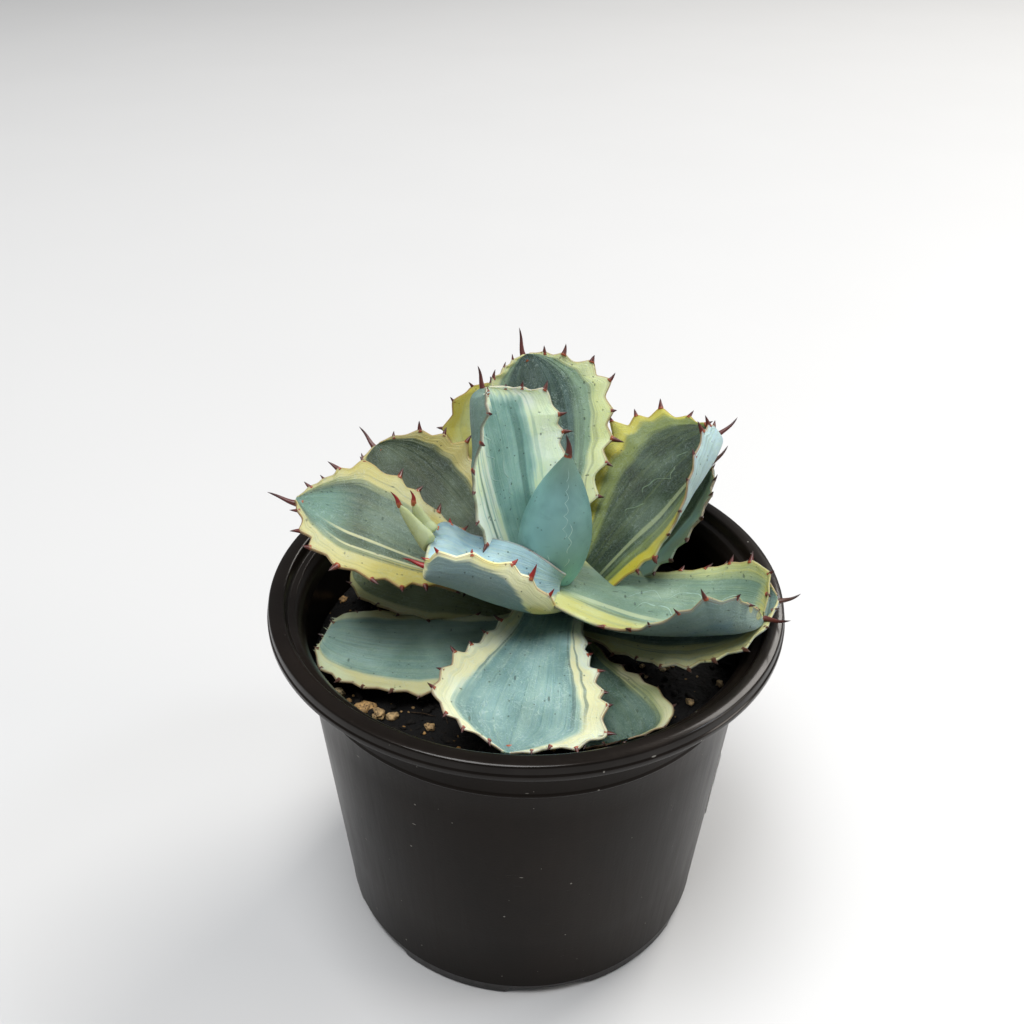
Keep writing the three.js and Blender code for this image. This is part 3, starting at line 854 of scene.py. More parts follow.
def read(table: Sequence[Pair], value: float) -> float:
    """Reads a rising table between its entries.

    Args:
        table: Pairs, rising in both numbers.
        value: A first number.

    Returns:
        The second number there.
    """
    place = min(max(bisect_left(table, value, key=lambda pair: pair[0]), 1), len(table) - 1)
    (low, first), (high, second) = table[place - 1], table[place]
    return first + (second - first) * min(max((value - low) / (high - low), 0), 1)


def wrap(
    mesh: Mesh, rows: int, sides: int, place: Callable[[int, int], Spot]
) -> list[bmesh.types.BMVert]:
    """Rolls a grid into a closed skin: rows along it, sides round it, and both ends filled.

    Args:
        mesh: The mesh that it is added to.
        rows: Steps along.
        sides: Steps round.
        place: Gives the point of a row and a side, and what each layer keeps there.

    Returns:
        The new points.
    """
    made = bmesh.ops.create_grid(mesh, x_segments=rows, y_segments=sides, size=1.0)["verts"]
    for vert in made:
        i = round((vert.co.x + 1) / 2 * rows)
        j = round((vert.co.y + 1) / 2 * sides)
        vert.co, kept = place(i, j % sides)
        for name, value in kept.items():
            layers = mesh.verts.layers
            layer = (layers.float if isinstance(value, float) else layers.float_vector)[name]
            vert[layer] = value
    bmesh.ops.remove_doubles(mesh, verts=made, dist=1e-5)
    made = [vert for vert in made if vert.is_valid]
    rim = [edge for vert in made for edge in vert.link_edges if edge.is_boundary]
    bmesh.ops.holes_fill(mesh, edges=list(set(rim)), sides=0)
    return made


def point_outwards(mesh: Mesh) -> None:
    """Turns every face of closed skins outwards."""
    bmesh.ops.recalc_face_normals(mesh, faces=mesh.faces)


def spun(profile: Iterable[Pair], steps: int) -> Mesh:
    """A solid of revolution about Z.

    Args:
        profile: Radius and height of each point, from the axis at the foot round to the axis at the top.
        steps: Steps round.

    Returns:
        The closed mesh.
    """
    mesh = bmesh.new()
    verts = [mesh.verts.new((radius, 0, height)) for radius, height in profile]
    edges = [mesh.edges.new(pair) for pair in zip(verts, verts[1:])]
    bmesh.ops.spin(
        mesh, geom=verts + edges, cent=(0, 0, 0), axis=(0, 0, 1), angle=2 * math.pi, steps=steps, use_merge=True)
    bmesh.ops.remove_doubles(mesh, verts=mesh.verts, dist=1e-4)
    point_outwards(mesh)
    return mesh


def layered() -> Mesh:
    """A new mesh with the layers that a blade and a horn keep at each point.

    Returns:
        The empty mesh.
    """
    mesh = bmesh.new()
    mesh.verts.layers.float.new("horn")
    mesh.verts.layers.float_vector.new("blade")
    return mesh


def shares(steps: int) -> list[float]:
    """Even shares from 0 to 1."""
    return [i / steps for i in range(steps + 1)]


def taper(wide: float, power: float = 0.85) -> list[float]:
    """Half widths of a horn from its wide root to its point, which is never quite sharp."""
    return [wide * (1 - share) ** power + 0.05 for share in shares(HORN_STEPS)]


def horn(
    mesh: Mesh, path: Sequence[Vector], radii: Sequence[float], flat: Vector, thin: float,
    sides: int = 7, slot: int = 1, blade: tuple[Vector, Vector] = (Vector((1, 0, 0)), Vector((1, 0, 0)))
) -> None:
    """A tapering, curved horn along a path.

    Args:
        mesh: The mesh that it is added to; it has the layers blade and horn.
        path: The middle line from the root to the point.
        radii: The half width at each point of the path.
        flat: The way in which it is thinner.
        thin: Its thickness as a share of its width.
        sides: Steps round it.
        slot: The material slot of its faces.
        blade: What its layer blade keeps at the root and at the point.
    """
    last = len(path) - 1
    before = set(mesh.faces)

    def place(i: int, j: int) -> Spot:
        """One point of the horn.

        Args:
            i: The step along it.
            j: The step round it.

        Returns:
            The point, and what each layer keeps there.
        """
        ahead = (path[min(i + 1, last)] - path[max(i - 1, 0)]).normalized()
        depth = (flat - ahead * flat.dot(ahead)).normalized()
        across = ahead.cross(depth)
        turn = 2 * math.pi * j / sides
        around = across * math.cos(turn) + depth * (math.sin(turn) * thin)
        return path[i] + around * radii[i], {"horn": i / last, "blade": blade[0].lerp(blade[1], i / last)}

    wrap(mesh, last, sides, place)
    for face in mesh.faces:
        if face not in before:
            face.material_index = slot


def linked(name: str, data: bpy.types.ID) -> bpy.types.Object:
    """Puts a camera, a lamp or a mesh into the scene.

    Args:
        name: The object's name.
        data: What it shows.

    Returns:
        The object.
    """
    thing = bpy.data.objects.new(name, data)
    bpy.context.scene.collection.objects.link(thing)
    return thing


def placed(mesh: Mesh, name: str, unit: float = MILLIMETRE) -> bpy.types.Object:
    """Turns a mesh into an object in metres.

    Args:
        mesh: The mesh, which is used up.
        name: The object's name.
        unit: The mesh's unit, in metres.

    Returns:
        The object.
    """
    bmesh.ops.scale(mesh, vec=(unit, unit, unit), verts=mesh.verts)
    data = bpy.data.meshes.new(name)
    mesh.to_mesh(data)
    mesh.free()
    return linked(name, data)


class Piece:
    """A sub-assembly that becomes one or more pieces of the scene."""

    @staticmethod
    def keep(
        mesh: Mesh, name: str, materials: Sequence[Material], slot: str, node: str,
        hides: bool = True
    ) -> bpy.types.Object:
        """Turns a mesh in millimetres into a finished piece in metres.

        Args:
            mesh: The mesh, which is used up.
            name: The piece's name.
            materials: Its materials, in the order of its slots.
            slot: The record's material slot; not used.
            node: The CAD node that it stands for, or lies on.
            hides: Whether it takes the node's place.

        Returns:
            The object.
        """
        for face in mesh.faces:
            face.smooth = True
        piece = placed(mesh, name)
        data = piece.data
        for material in materials:
            data.materials.append(material)
        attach(piece, "root")
        if hides:
            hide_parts(node)
        log.info("%s: %d points, %d faces", name, len(data.vertices), len(data.polygons))
        return piece


# ---- The pot and its label


@dataclass
class Pot(Piece):
    """The nursery pot: a thin tapered wall, a turned-down rim, a foot with six notches and six drain holes."""

    foot: float = 62.0
    wall_top: float = 71.2
    wall_height: float = 116.4
    wall: float = 1.3
    ring: float = 101.6
    notches: int = 6
    notch_width: float = 27.0
    notch_bearing: float = -81.0
    notch_depth: float = 2.8
    notch_draft: float = 1.5
    drain_circle: float = 45.0
    drain: float = 4.5
    crease: float = 24.0
    bevel: float = 0.16
    steps: int = 240
    finish: PotPlastic = PotPlastic()

    def wall_radius(self, height: float) -> float:
        """The wall's outer radius at a height."""
        return self.foot + (self.wall_top - self.foot) * height / self.wall_height

    def profile(self) -> list[Pair]:
        """The pot's half section.

        Returns:
            Radius and height of each point, from the axis underneath round to the axis inside.
        """
        radius = self.wall_radius
        outside = [
            (0, 3), (50.5, 3), (56.5, 3), (56.8, 0), (61.2, 0), (62.0, 0.8), (radius(4.4) + 0.02, 4.4),
            (radius(4.7) + 0.14, 4.7), (radius(5.3) + 0.02, 5.3), (radius(30), 30), (radius(60), 60),
            (radius(90), 90), (radius(self.ring - 0.9), self.ring - 0.9), (radius(self.ring) + 0.36, self.ring - 0.35),
            (radius(self.ring) + 0.36, self.ring + 0.1), (radius(self.ring + 0.8), self.ring + 0.8),
            (self.wall_top, self.wall_height), (73.8, 118.3), (76.2, 121.7), (78.8, 121.7), (79.2, 118.2),
        ]
        rim = [
            (80.5, 118.2), (80.5, 119.7), (80.02, 120.1), (80.0, 122.1), (79.75, 122.65), (79.2, 122.9),
            (77.5, 123.0), (75.8, 122.9), (75.25, 122.6), (75.0, 122.0), (74.5, 120.1), (74.0, 119.6),
            (72.4, 119.4), (71.95, 119.1), (70.1, 116.5), (radius(115.2) - self.wall, 115.2),
        ]
        inside = [
            (radius(112) - self.wall, 112), (radius(111.6) - self.wall - 0.12, 111.6),
            (radius(111.2) - self.wall, 111.2), (radius(60) - self.wall, 60), (radius(5.5) - self.wall, 5.5),
            (radius(4.5) - self.wall - 1, 4.5), (38, 4.5), (0, 4.5),
        ]
        return outside + rim + inside

    def notched(self, mesh: Mesh) -> None:
        """Lifts the foot's edge in the notches, with slanted ends.

        Args:
            mesh: The pot's mesh.
        """
        low = [vert for vert in mesh.verts if vert.co.z < 1.2 and vert.co.xy.length > 56]
        spacing = 360 / self.notches
        for vert in low:
            bearing = math.degrees(math.atan2(vert.co.y, vert.co.x)) - self.notch_bearing
            off = (bearing + spacing / 2) % spacing - spacing / 2
            reach = math.radians(abs(off)) * self.foot
            share = min(max((self.notch_width / 2 + 0.4 - reach) / self.notch_draft, 0), 1)
            vert.co.z += (self.notch_depth - vert.co.z) * smooth(share)

    def drained(self, piece: bpy.types.Object) -> None:
        """Cuts the drain holes through the floor.

        Args:
            piece: The pot, in metres.
        """
        drills = bmesh.new()
        for i in range(self.notches):
            bearing = math.radians(self.notch_bearing + 360 / self.notches * i)
            place = Vector((self.drain_circle * math.cos(bearing), self.drain_circle * math.sin(bearing), 3.7))
            bmesh.ops.create_cone(
                drills, cap_ends=True, segments=32, radius1=self.drain, radius2=self.drain, depth=6,
                matrix=Matrix.Translation(place))
        cutter = placed(drills, "drain_cutter")
        data = cutter.data
        cut = piece.modifiers.new("drains", "BOOLEAN")
        cut.operation = "DIFFERENCE"
        cut.solver = "EXACT"
        cut.object = cutter
        graph = bpy.context.evaluated_depsgraph_get()
        holed = bpy.data.meshes.new_from_object(piece.evaluated_get(graph))
        piece.modifiers.clear()
        piece.data = holed
        bpy.data.objects.remove(cutter)
        bpy.data.meshes.remove(data)

    def build(self) -> None:
        """Builds the pot."""
        mesh = spun(self.profile(), self.steps)
        sharp = []
        for edge in mesh.edges:
            level = abs(edge.verts[0].co.z - edge.verts[1].co.z) < 1e-4
            turned = len(edge.link_faces) == 2 and edge.calc_face_angle() > math.radians(self.crease)
            if level and turned and edge.verts[0].co.xy.length > 55 and edge.calc_length() < 5:
                sharp.append(edge)
        bmesh.ops.bevel(
            mesh, geom=sharp, offset=self.bevel, segments=2, profile=0.5, affect="EDGES", material=-1,
            clamp_overlap=True)
        self.notched(mesh)
        point_outwards(mesh)
        piece = self.keep(mesh, "pot_shell", [self.finish.material()], "pot_plastic", "pot")
        self.drained(piece)


@dataclass
class Label(Piece):
    """A plain sticker on the right of the wall."""

    pot: Pot
    bearing: float = 2.0
    width: float = 40.0
    low: float = 36.0
    high: float = 66.0
    thickness: float = 0.3
    corner: float = 2.0
    finish: LabelPaper = LabelPaper()

    def build(self) -> None:
        """Cuts the sticker out flat, slices it, and lays it round the wall, its near edge peeling off."""
        mesh = bmesh.new()
        made = bmesh.ops.create_grid(mesh, x_segments=1, y_segments=1, size=0.5)["verts"]
        bmesh.ops.scale(mesh, vec=(self.width, self.high - self.low, 1), verts=made)
        bmesh.ops.bevel(
            mesh, geom=made, offset=self.corner, segments=4, profile=0.5, affect="VERTICES", material=-1)
        for way, length, parts in (((1, 0, 0), self.width, 28), ((0, 1, 0), self.high - self.low, 8)):
            for i in range(1, parts):
                middle = Vector(way) * (length * (i / parts - 0.5))
                bmesh.ops.bisect_plane(
                    mesh, geom=mesh.verts[:] + mesh.edges[:] + mesh.faces[:], plane_co=middle, plane_no=way)
        bmesh.ops.recalc_face_normals(mesh, faces=mesh.faces)
        bmesh.ops.solidify(mesh, geom=mesh.faces[:], thickness=self.thickness)
        base = min(vert.co.z for vert in mesh.verts)
        for vert in mesh.verts:
            height = (self.low + self.high) / 2 + vert.co.y
            angle = math.radians(self.bearing) + vert.co.x / self.pot.wall_radius(self.high)
            corner = Vector((abs(vert.co.x) / self.width * 2, abs(vert.co.y) / (self.high - self.low) * 2))
            lift = 0.25 * max(corner.x * corner.y - 0.72, 0) / 0.28 if vert.co.x * vert.co.y > 0 else 0
            if vert.co.x < 0:
                peel = 0.75 + 0.5 * noise.noise(Vector((vert.co.y * 0.22, 4.7, 0)))
                lift += 0.14 * peel * smooth(max(corner.x - 0.72, 0) / 0.28)
            radius = self.pot.wall_radius(height) + 0.03 + (vert.co.z - base) + lift
            vert.co = Vector((radius * math.cos(angle), radius * math.sin(angle), height))
        point_outwards(mesh)
        self.keep(mesh, "label_sticker", [self.finish.material()], "label_paper", "label")


# ---- Soil


@dataclass
class Soil(Piece):
    """The potting soil: a rough filling, loose crumbs, pumice grit and a few root fibres."""

    pot: Pot
    floor: float = 4.8
    top: float = 100.0
    edge: float = 2.0
    gap: float = 0.3
    steps: int = 150
    crumbs: int = 1500
    grit: int = 110
    fibres: int = 46
    seed: int = 11
    finish: SoilFinish = SoilFinish()
    grains: tuple[tuple[float, float, float, float], ...] = (
        (-47.6, -35.0, 2.3, 0.75), (-43.5, -37.1, 1.7, 0.55), (-39.3, -37.4, 1.5, 0.5), (-37.2, -47.8, 1.6, 1.0),
        (-35.2, -46.6, 1.1, 0.9), (-56.9, -27.8, 1.7, 0.1), (-53.5, -31.0, 1.0, 0.8), (-62.7, 21.1, 1.2, 0.8),
        (-27.5, -42.1, 1.2, 0.6), (44.4, -13.3, 1.1, 0.3), (50.4, -29.3, 1.1, 0.4), (60.8, -19.9, 1.1, 0.2),
        (34.5, -38.3, 1.2, 0.7), (22.2, -49.0, 1.1, 0.5),
    )

    def inner(self, height: float) -> float:
        """The filling's radius at a height."""
        return self.pot.wall_radius(height) - self.pot.wall - self.gap

    def surface(self, x: float, y: float) -> float:
        """How high the soil stands at a place.

        Args:
            x: The place along X.
            y: The place along Y.

        Returns:
            Its height.
        """
        broad = noise.noise(Vector((x * 0.045, y * 0.045, 3.1)))
        clods = noise.noise(Vector((x * 0.16, y * 0.16, 8.4)))
        fine = noise.noise(Vector((x * 0.5, y * 0.5, 1.7)))
        far = math.hypot(x, y) / self.inner(self.top)
        return self.top - 0.9 + 1.3 * broad + 0.8 * clods + 0.45 * fine - self.edge * max(far - 0.9, 0) / 0.1

    def build_bed(self) -> None:
        """Spins the filling and roughens its top."""
        brim = self.inner(self.top - self.edge)
        profile = [(0, self.floor), (30, self.floor), (self.inner(self.floor) - 1, self.floor)]
        profile += [(self.inner(self.floor + 1), self.floor + 1), (self.inner(50), 50)]
        profile += [(brim, self.top - self.edge - 3)]
        rings = 62
        profile += [(brim * (1 - i / rings), self.top) for i in range(rings + 1)]
        mesh = spun(profile, self.steps)
        for vert in mesh.verts:
            if vert.co.z > self.top - 0.01:
                vert.co.z = self.surface(vert.co.x, vert.co.y)
        self.keep(mesh, "soil_bed", [self.finish.material("damp_soil")], "soil", "soil")

    def lump(
        self, mesh: Mesh, chance: random.Random, place: Vector, size: Vector, detail: int, tint: float
    ) -> None:
        """Adds one crumb or grain with a broken surface.

        Args:
            mesh: The mesh that it is added to; it has the layer tint.
            chance: The draws.
            place: Its middle.
            size: Its three half sizes.
            detail: How finely it is divided.
            tint: What its layer keeps.
        """
        made = bmesh.ops.create_icosphere(mesh, subdivisions=detail, radius=1.0)["verts"]
        turn = Matrix.Rotation(chance.uniform(0, 6.3), 4, "Z") @ Matrix.Rotation(chance.uniform(-0.6, 0.6), 4, "X")
        layer = mesh.verts.layers.float["tint"]
        shift = Vector((chance.random(), chance.random(), chance.random())) * 50
        for vert in made:
            rough = 1 + 0.5 * noise.noise(vert.co * 1.7 + shift)
            vert.co = turn @ Vector((vert.co.x * size.x, vert.co.y * size.y, vert.co.z * size.z)) * rough + place
            vert[layer] = tint

    def strewn(self, chance: random.Random, inset: float, low: float, high: float) -> Pair:
        """Draws a place on the bed, as likely in one spot as in another.

        Args:
            chance: The draws.
            inset: How far it keeps off the wall.
            low: The share of the bed's area inside of which nothing lies.
            high: The share outside of which nothing lies.

        Returns:
            The place along X and along Y.
        """
        distance = (self.inner(self.top) - inset) * math.sqrt(chance.uniform(low, high))
        bearing = chance.uniform(0, 2 * math.pi)
        return distance * math.cos(bearing), distance * math.sin(bearing)

    def build_crumbs(self) -> None:
        """Scatters dark crumbs and flakes of bark over the bed."""
        chance = random.Random(self.seed)
        mesh = bmesh.new()
        mesh.verts.layers.float.new("tint")
        for _ in range(self.crumbs):
            x, y = self.strewn(chance, 2.0, 0, 1)
            base = 0.35 + 1.25 * chance.random() ** 3
            size = Vector((base * chance.uniform(0.8, 2.0), base, base * chance.uniform(0.4, 0.8)))
            self.lump(mesh, chance, Vector((x, y, self.surface(x, y) + size.z * 0.3)), size, 1, 0.0)
        point_outwards(mesh)
        finish = SoilFinish(wet=tone(20, 16, 12), dry=tone(70, 56, 42))
        self.keep(mesh, "soil_crumbs", [finish.material("soil_crumbs_bark", 0.8)], "soil", "soil", False)

    def build_grit(self) -> None:
        """Lays the grains that show at the front, and strews smaller ones."""
        chance = random.Random(self.seed + 1)
        mesh = bmesh.new()
        mesh.verts.layers.float.new("tint")
        for x, y, half, tint in self.grains:
            size = Vector((half * 1.35, half * 1.05, half * 0.75))
            self.lump(mesh, chance, Vector((x, y, self.surface(x, y) + half * 0.35)), size, 3, tint)
        for _ in range(self.grit):
            x, y = self.strewn(chance, 0, 0.12, 0.93)
            base = 0.35 + 0.8 * chance.random() ** 2.5
            size = Vector((base * chance.uniform(1, 1.5), base, base * 0.7))
            place = Vector((x, y, self.surface(x, y) + size.z * 0.4))
            self.lump(mesh, chance, place, size, 2, chance.random())
        point_outwards(mesh)
        self.keep(mesh, "soil_grit", [GritFinish().material()], "soil", "soil", False)

    def build_fibres(self) -> None:
        """Lays short root fibres and straws on the bed."""
        chance = random.Random(self.seed + 2)
        mesh = layered()
        for _ in range(self.fibres):
            start = Vector((*self.strewn(chance, 6, 0.15, 1), 0))
            heading = chance.uniform(0, 2 * math.pi)
            length, bend = chance.uniform(3, 9), chance.uniform(-0.5, 0.5)
            path = []
            for share in shares(HAIR_STEPS):
                turn = heading + bend * 2 * share
                place = start + Vector((math.cos(turn), math.sin(turn), 0)) * (length * share)
                if place.xy.length > self.inner(self.top) - 1.5:
                    place.xy = place.xy.normalized() * (self.inner(self.top) - 1.5)
                arch = 0.5 * math.sin(math.pi * share) * chance.random()
                place.z = self.surface(place.x, place.y) + 0.35 + arch
                path.append(place)
            thick = chance.uniform(0.09, 0.2)
            horn(mesh, path, [thick] * 5 + [thick * 0.8, thick * 0.4], Vector((0, 0, 1)), 0.8, 5, 0)
        point_outwards(mesh)
        finish = SoilFinish(wet=tone(58, 44, 30), dry=tone(122, 98, 68))
        self.keep(mesh, "soil_fibres", [finish.material("root_fibres")], "soil", "soil", False)

    def build(self) -> None:
        """Builds the soil's four pieces."""
        self.build_bed()
        self.build_crumbs()
        self.build_grit()
        self.build_fibres()


# ---- Crown and bud


@dataclass
class Crown(Piece):
    """The short stem between the soil and the leaf bases, ringed by old leaf scars."""

    centre: Pair = (10.0, 3.0)
    low: float = 74.0
    soil: float = 100.3
    top: float = 116.0
    steps: int = 56

    def material(self) -> Material:
        """Pale green stem with brown scars.

        Returns:
            The material.
        """
        material, bench = blank("crown_stem")
        place = bench.objects()
        cloud = bench.noise(place, 160.0, 4.0, 0.6)
        rings = bench.noise(bench.stretch(place, (30.0, 30.0, 700.0)), 1.0, 2.0)
        colour = bench.mix(bench.rise(cloud, 0.4, 0.65), tone(150, 160, 112), tone(104, 112, 72))
        colour = bench.mix(bench.rise(rings, 0.56, 0.7), colour, tone(96, 70, 46))
        bench.dress("Base Color", colour)
        bench.dress("Roughness", bench.ramp(cloud, 0.3, 0.4))
        bench.dress("Normal", bench.bump(bench.plus(rings, cloud), 0.0005, 0.7))
        return material

    def build(self) -> None:
        """Spins the stem and puts its scars in."""
        profile = [(0, self.low), (4.5, self.low), (6, self.low + 4), (6, self.soil - 1.2), (6.4, self.soil - 0.2)]
        profile += [(11 - 0.5 * (1 - math.sin(0.5 * math.pi * i / 3)), self.soil + 0.6 * i / 3) for i in range(4)]
        for i in range(1, 13):
            share = i / 12
            radius = 11 - 5 * share ** 1.7 - 0.25 * (i % 2)
            profile.append((radius, self.soil + 0.6 + (self.top - self.soil - 1.2) * share))
        profile += [(5.2, self.top), (0, self.top)]
        mesh = spun(profile, self.steps)
        bmesh.ops.translate(mesh, vec=(*self.centre, 0), verts=mesh.verts)
        self.keep(mesh, "crown_stem", [self.material()], "stem", "crown")


@dataclass
class Bud(Piece):
    """The closed heart: young leaves rolled round one another into a plump spear with a spine."""

    foot: Vector = field(default_factory=lambda: Vector((6.5, 4.0, 117.5)))
    tip: Vector = field(default_factory=lambda: Vector((12.0, 6.0, 166.0)))
    radius: float = 12.0
    spine: float = 6.0
    spine_bend: float = 1.5
    rows: int = 110
    row_crowding: float = 1.25
    sides: int = 96
    imprints: tuple[Imprint, ...] = (
        Imprint(0.1, 0.14, 7.0, 0.5, 0.93, 0.02), Imprint(-0.2, 0.06, 4.0, 0.12, 0.4, 0.02),
        Imprint(0.3, 0.1, 5.0, 0.3, 0.62, 0.02))

    def girth(self, share: float) -> float:
        """The bud's radius at a share of its height."""
        belly = math.sin(math.pi * (0.12 + 0.88 * share) ** 0.95) ** 0.85
        return max(self.radius * belly * (1 - 0.12 * share), 1.0)

    def material(self, effects: Effects) -> Material:
        """Glaucous teal skin, darker at the point, with the scars of its neighbours' teeth.

        Args:
            effects: The shared groups.

        Returns:
            The material.
        """
        material, bench = blank("bud_skin")
        blade = bench.layer("blade")
        share, _, depth = bench.split(blade)
        bloom = effects.bloom.on(bench, place=bench.objects())
        lines = effects.streaks.on(bench, blade=blade, seed=4.0, count=12.0)
        cloud = bench.rise(bloom["Cloud"], 0.34, 0.66)
        colour = bench.mix(cloud, tone(96, 136, 134), tone(122, 164, 162))
        low = bench.fall(share, 0.02, 0.45)
        colour = bench.tint(colour, low, 0.75, tone(142, 208, 198))
        point = bench.rise(share, 0.7, 0.98)
        colour = bench.tint(colour, point, 0.75, tone(84, 108, 84))
        colour = bench.tint(colour, bloom["Rubbed"], 0.3, tone(86, 124, 116))
        # Painted shade: the skin just under each lapped edge is darkened, as in the crease there.
        edge = bench.fall(depth, 0.0, 0.05)
        colour = bench.tint(colour, edge, 0.8, tone(58, 84, 70))
        relief = bloom["Grain"]
        for imprint in self.imprints:
            mask = effects.imprint.on(bench, blade=blade, **asdict(imprint))[0]
            colour = bench.tint(colour, mask, 0.5, tone(196, 224, 218))
            relief = bench.plus(relief, bench.times(mask, 1.6))
        colour = bench.tint(colour, bloom["Marks"], 0.45, tone(52, 76, 66))
        bench.dress("Base Color", colour)
        bench.dress("Roughness", bench.ramp(cloud, 0.1, 0.42))
        bench.dress("Subsurface Weight", 0.12)
        bench.dress("Subsurface Radius", (0.0016, 0.0022, 0.0016))
        bench.dress("Subsurface Scale", 1.0)
        normal = bench.bump(relief, 0.00012, 0.7)
        normal = bench.bump(lines["Fine"], 0.0002, 0.45, normal)
        bench.dress("Normal", normal)
        return material

    def build(self, effects: Effects) -> None:
        """Rolls the bud: each turn lies a little over the next, with a lapped edge up its side.

        Args:
            effects: The shared shader groups.
        """
        axis = (self.tip - self.foot).normalized()
        turn = Vector((0, 0, 1)).rotation_difference(axis)
        height = (self.tip - self.foot).length
        mesh = layered()

        def place(i: int, j: int) -> Spot:
            """One point of the rolled skin.

            Args:
                i: The step along it.
                j: The step round it.

            Returns:
                The point, and what each layer keeps there.
            """
            share = 1 - (1 - i / self.rows) ** self.row_crowding
            bearing = 2 * math.pi * j / self.sides
            lap = ((bearing / (2 * math.pi)) - 0.02 - 0.1 * share) % 1.0
            rolled = 1 + 0.055 * (lap - 0.72) + 0.012 * math.sin(2 * bearing)
            radius = self.girth(share) * (rolled if share < 0.97 else 1.0)
            spot = turn @ Vector((radius * math.cos(bearing), radius * math.sin(bearing), share * height))
            wrinkle = 0.12 * noise.noise(spot * 0.14)
            out = turn @ Vector((math.cos(bearing), math.sin(bearing), 0))
            facing = math.sin(bearing + math.pi / 2) if math.sin(bearing) < 0 else 1.0
            return self.foot + spot + out * wrinkle, {"blade": Vector((share, facing, lap)), "horn": 0.0}

        wrap(mesh, self.rows, self.sides, place)
        point = self.tip + axis * self.spine + Vector((-self.spine_bend, 0, 0))
        start = self.tip - axis * 2.4
        bow = Vector((0.9, 0, 0))
        path = [start.lerp(point, share) + bow * math.sin(math.pi * share) * 0.8 for share in shares(HORN_STEPS)]
        horn(mesh, path, taper(1.3, power=0.8), Vector((0, 1, 0)), 0.9, 12)
        point_outwards(mesh)
        materials = [self.material(effects), Horn.RIPE.value.material("bud_spine_horn")]
        self.keep(mesh, "bud_heart", materials, "bud", "bud")


# ---- Leaves


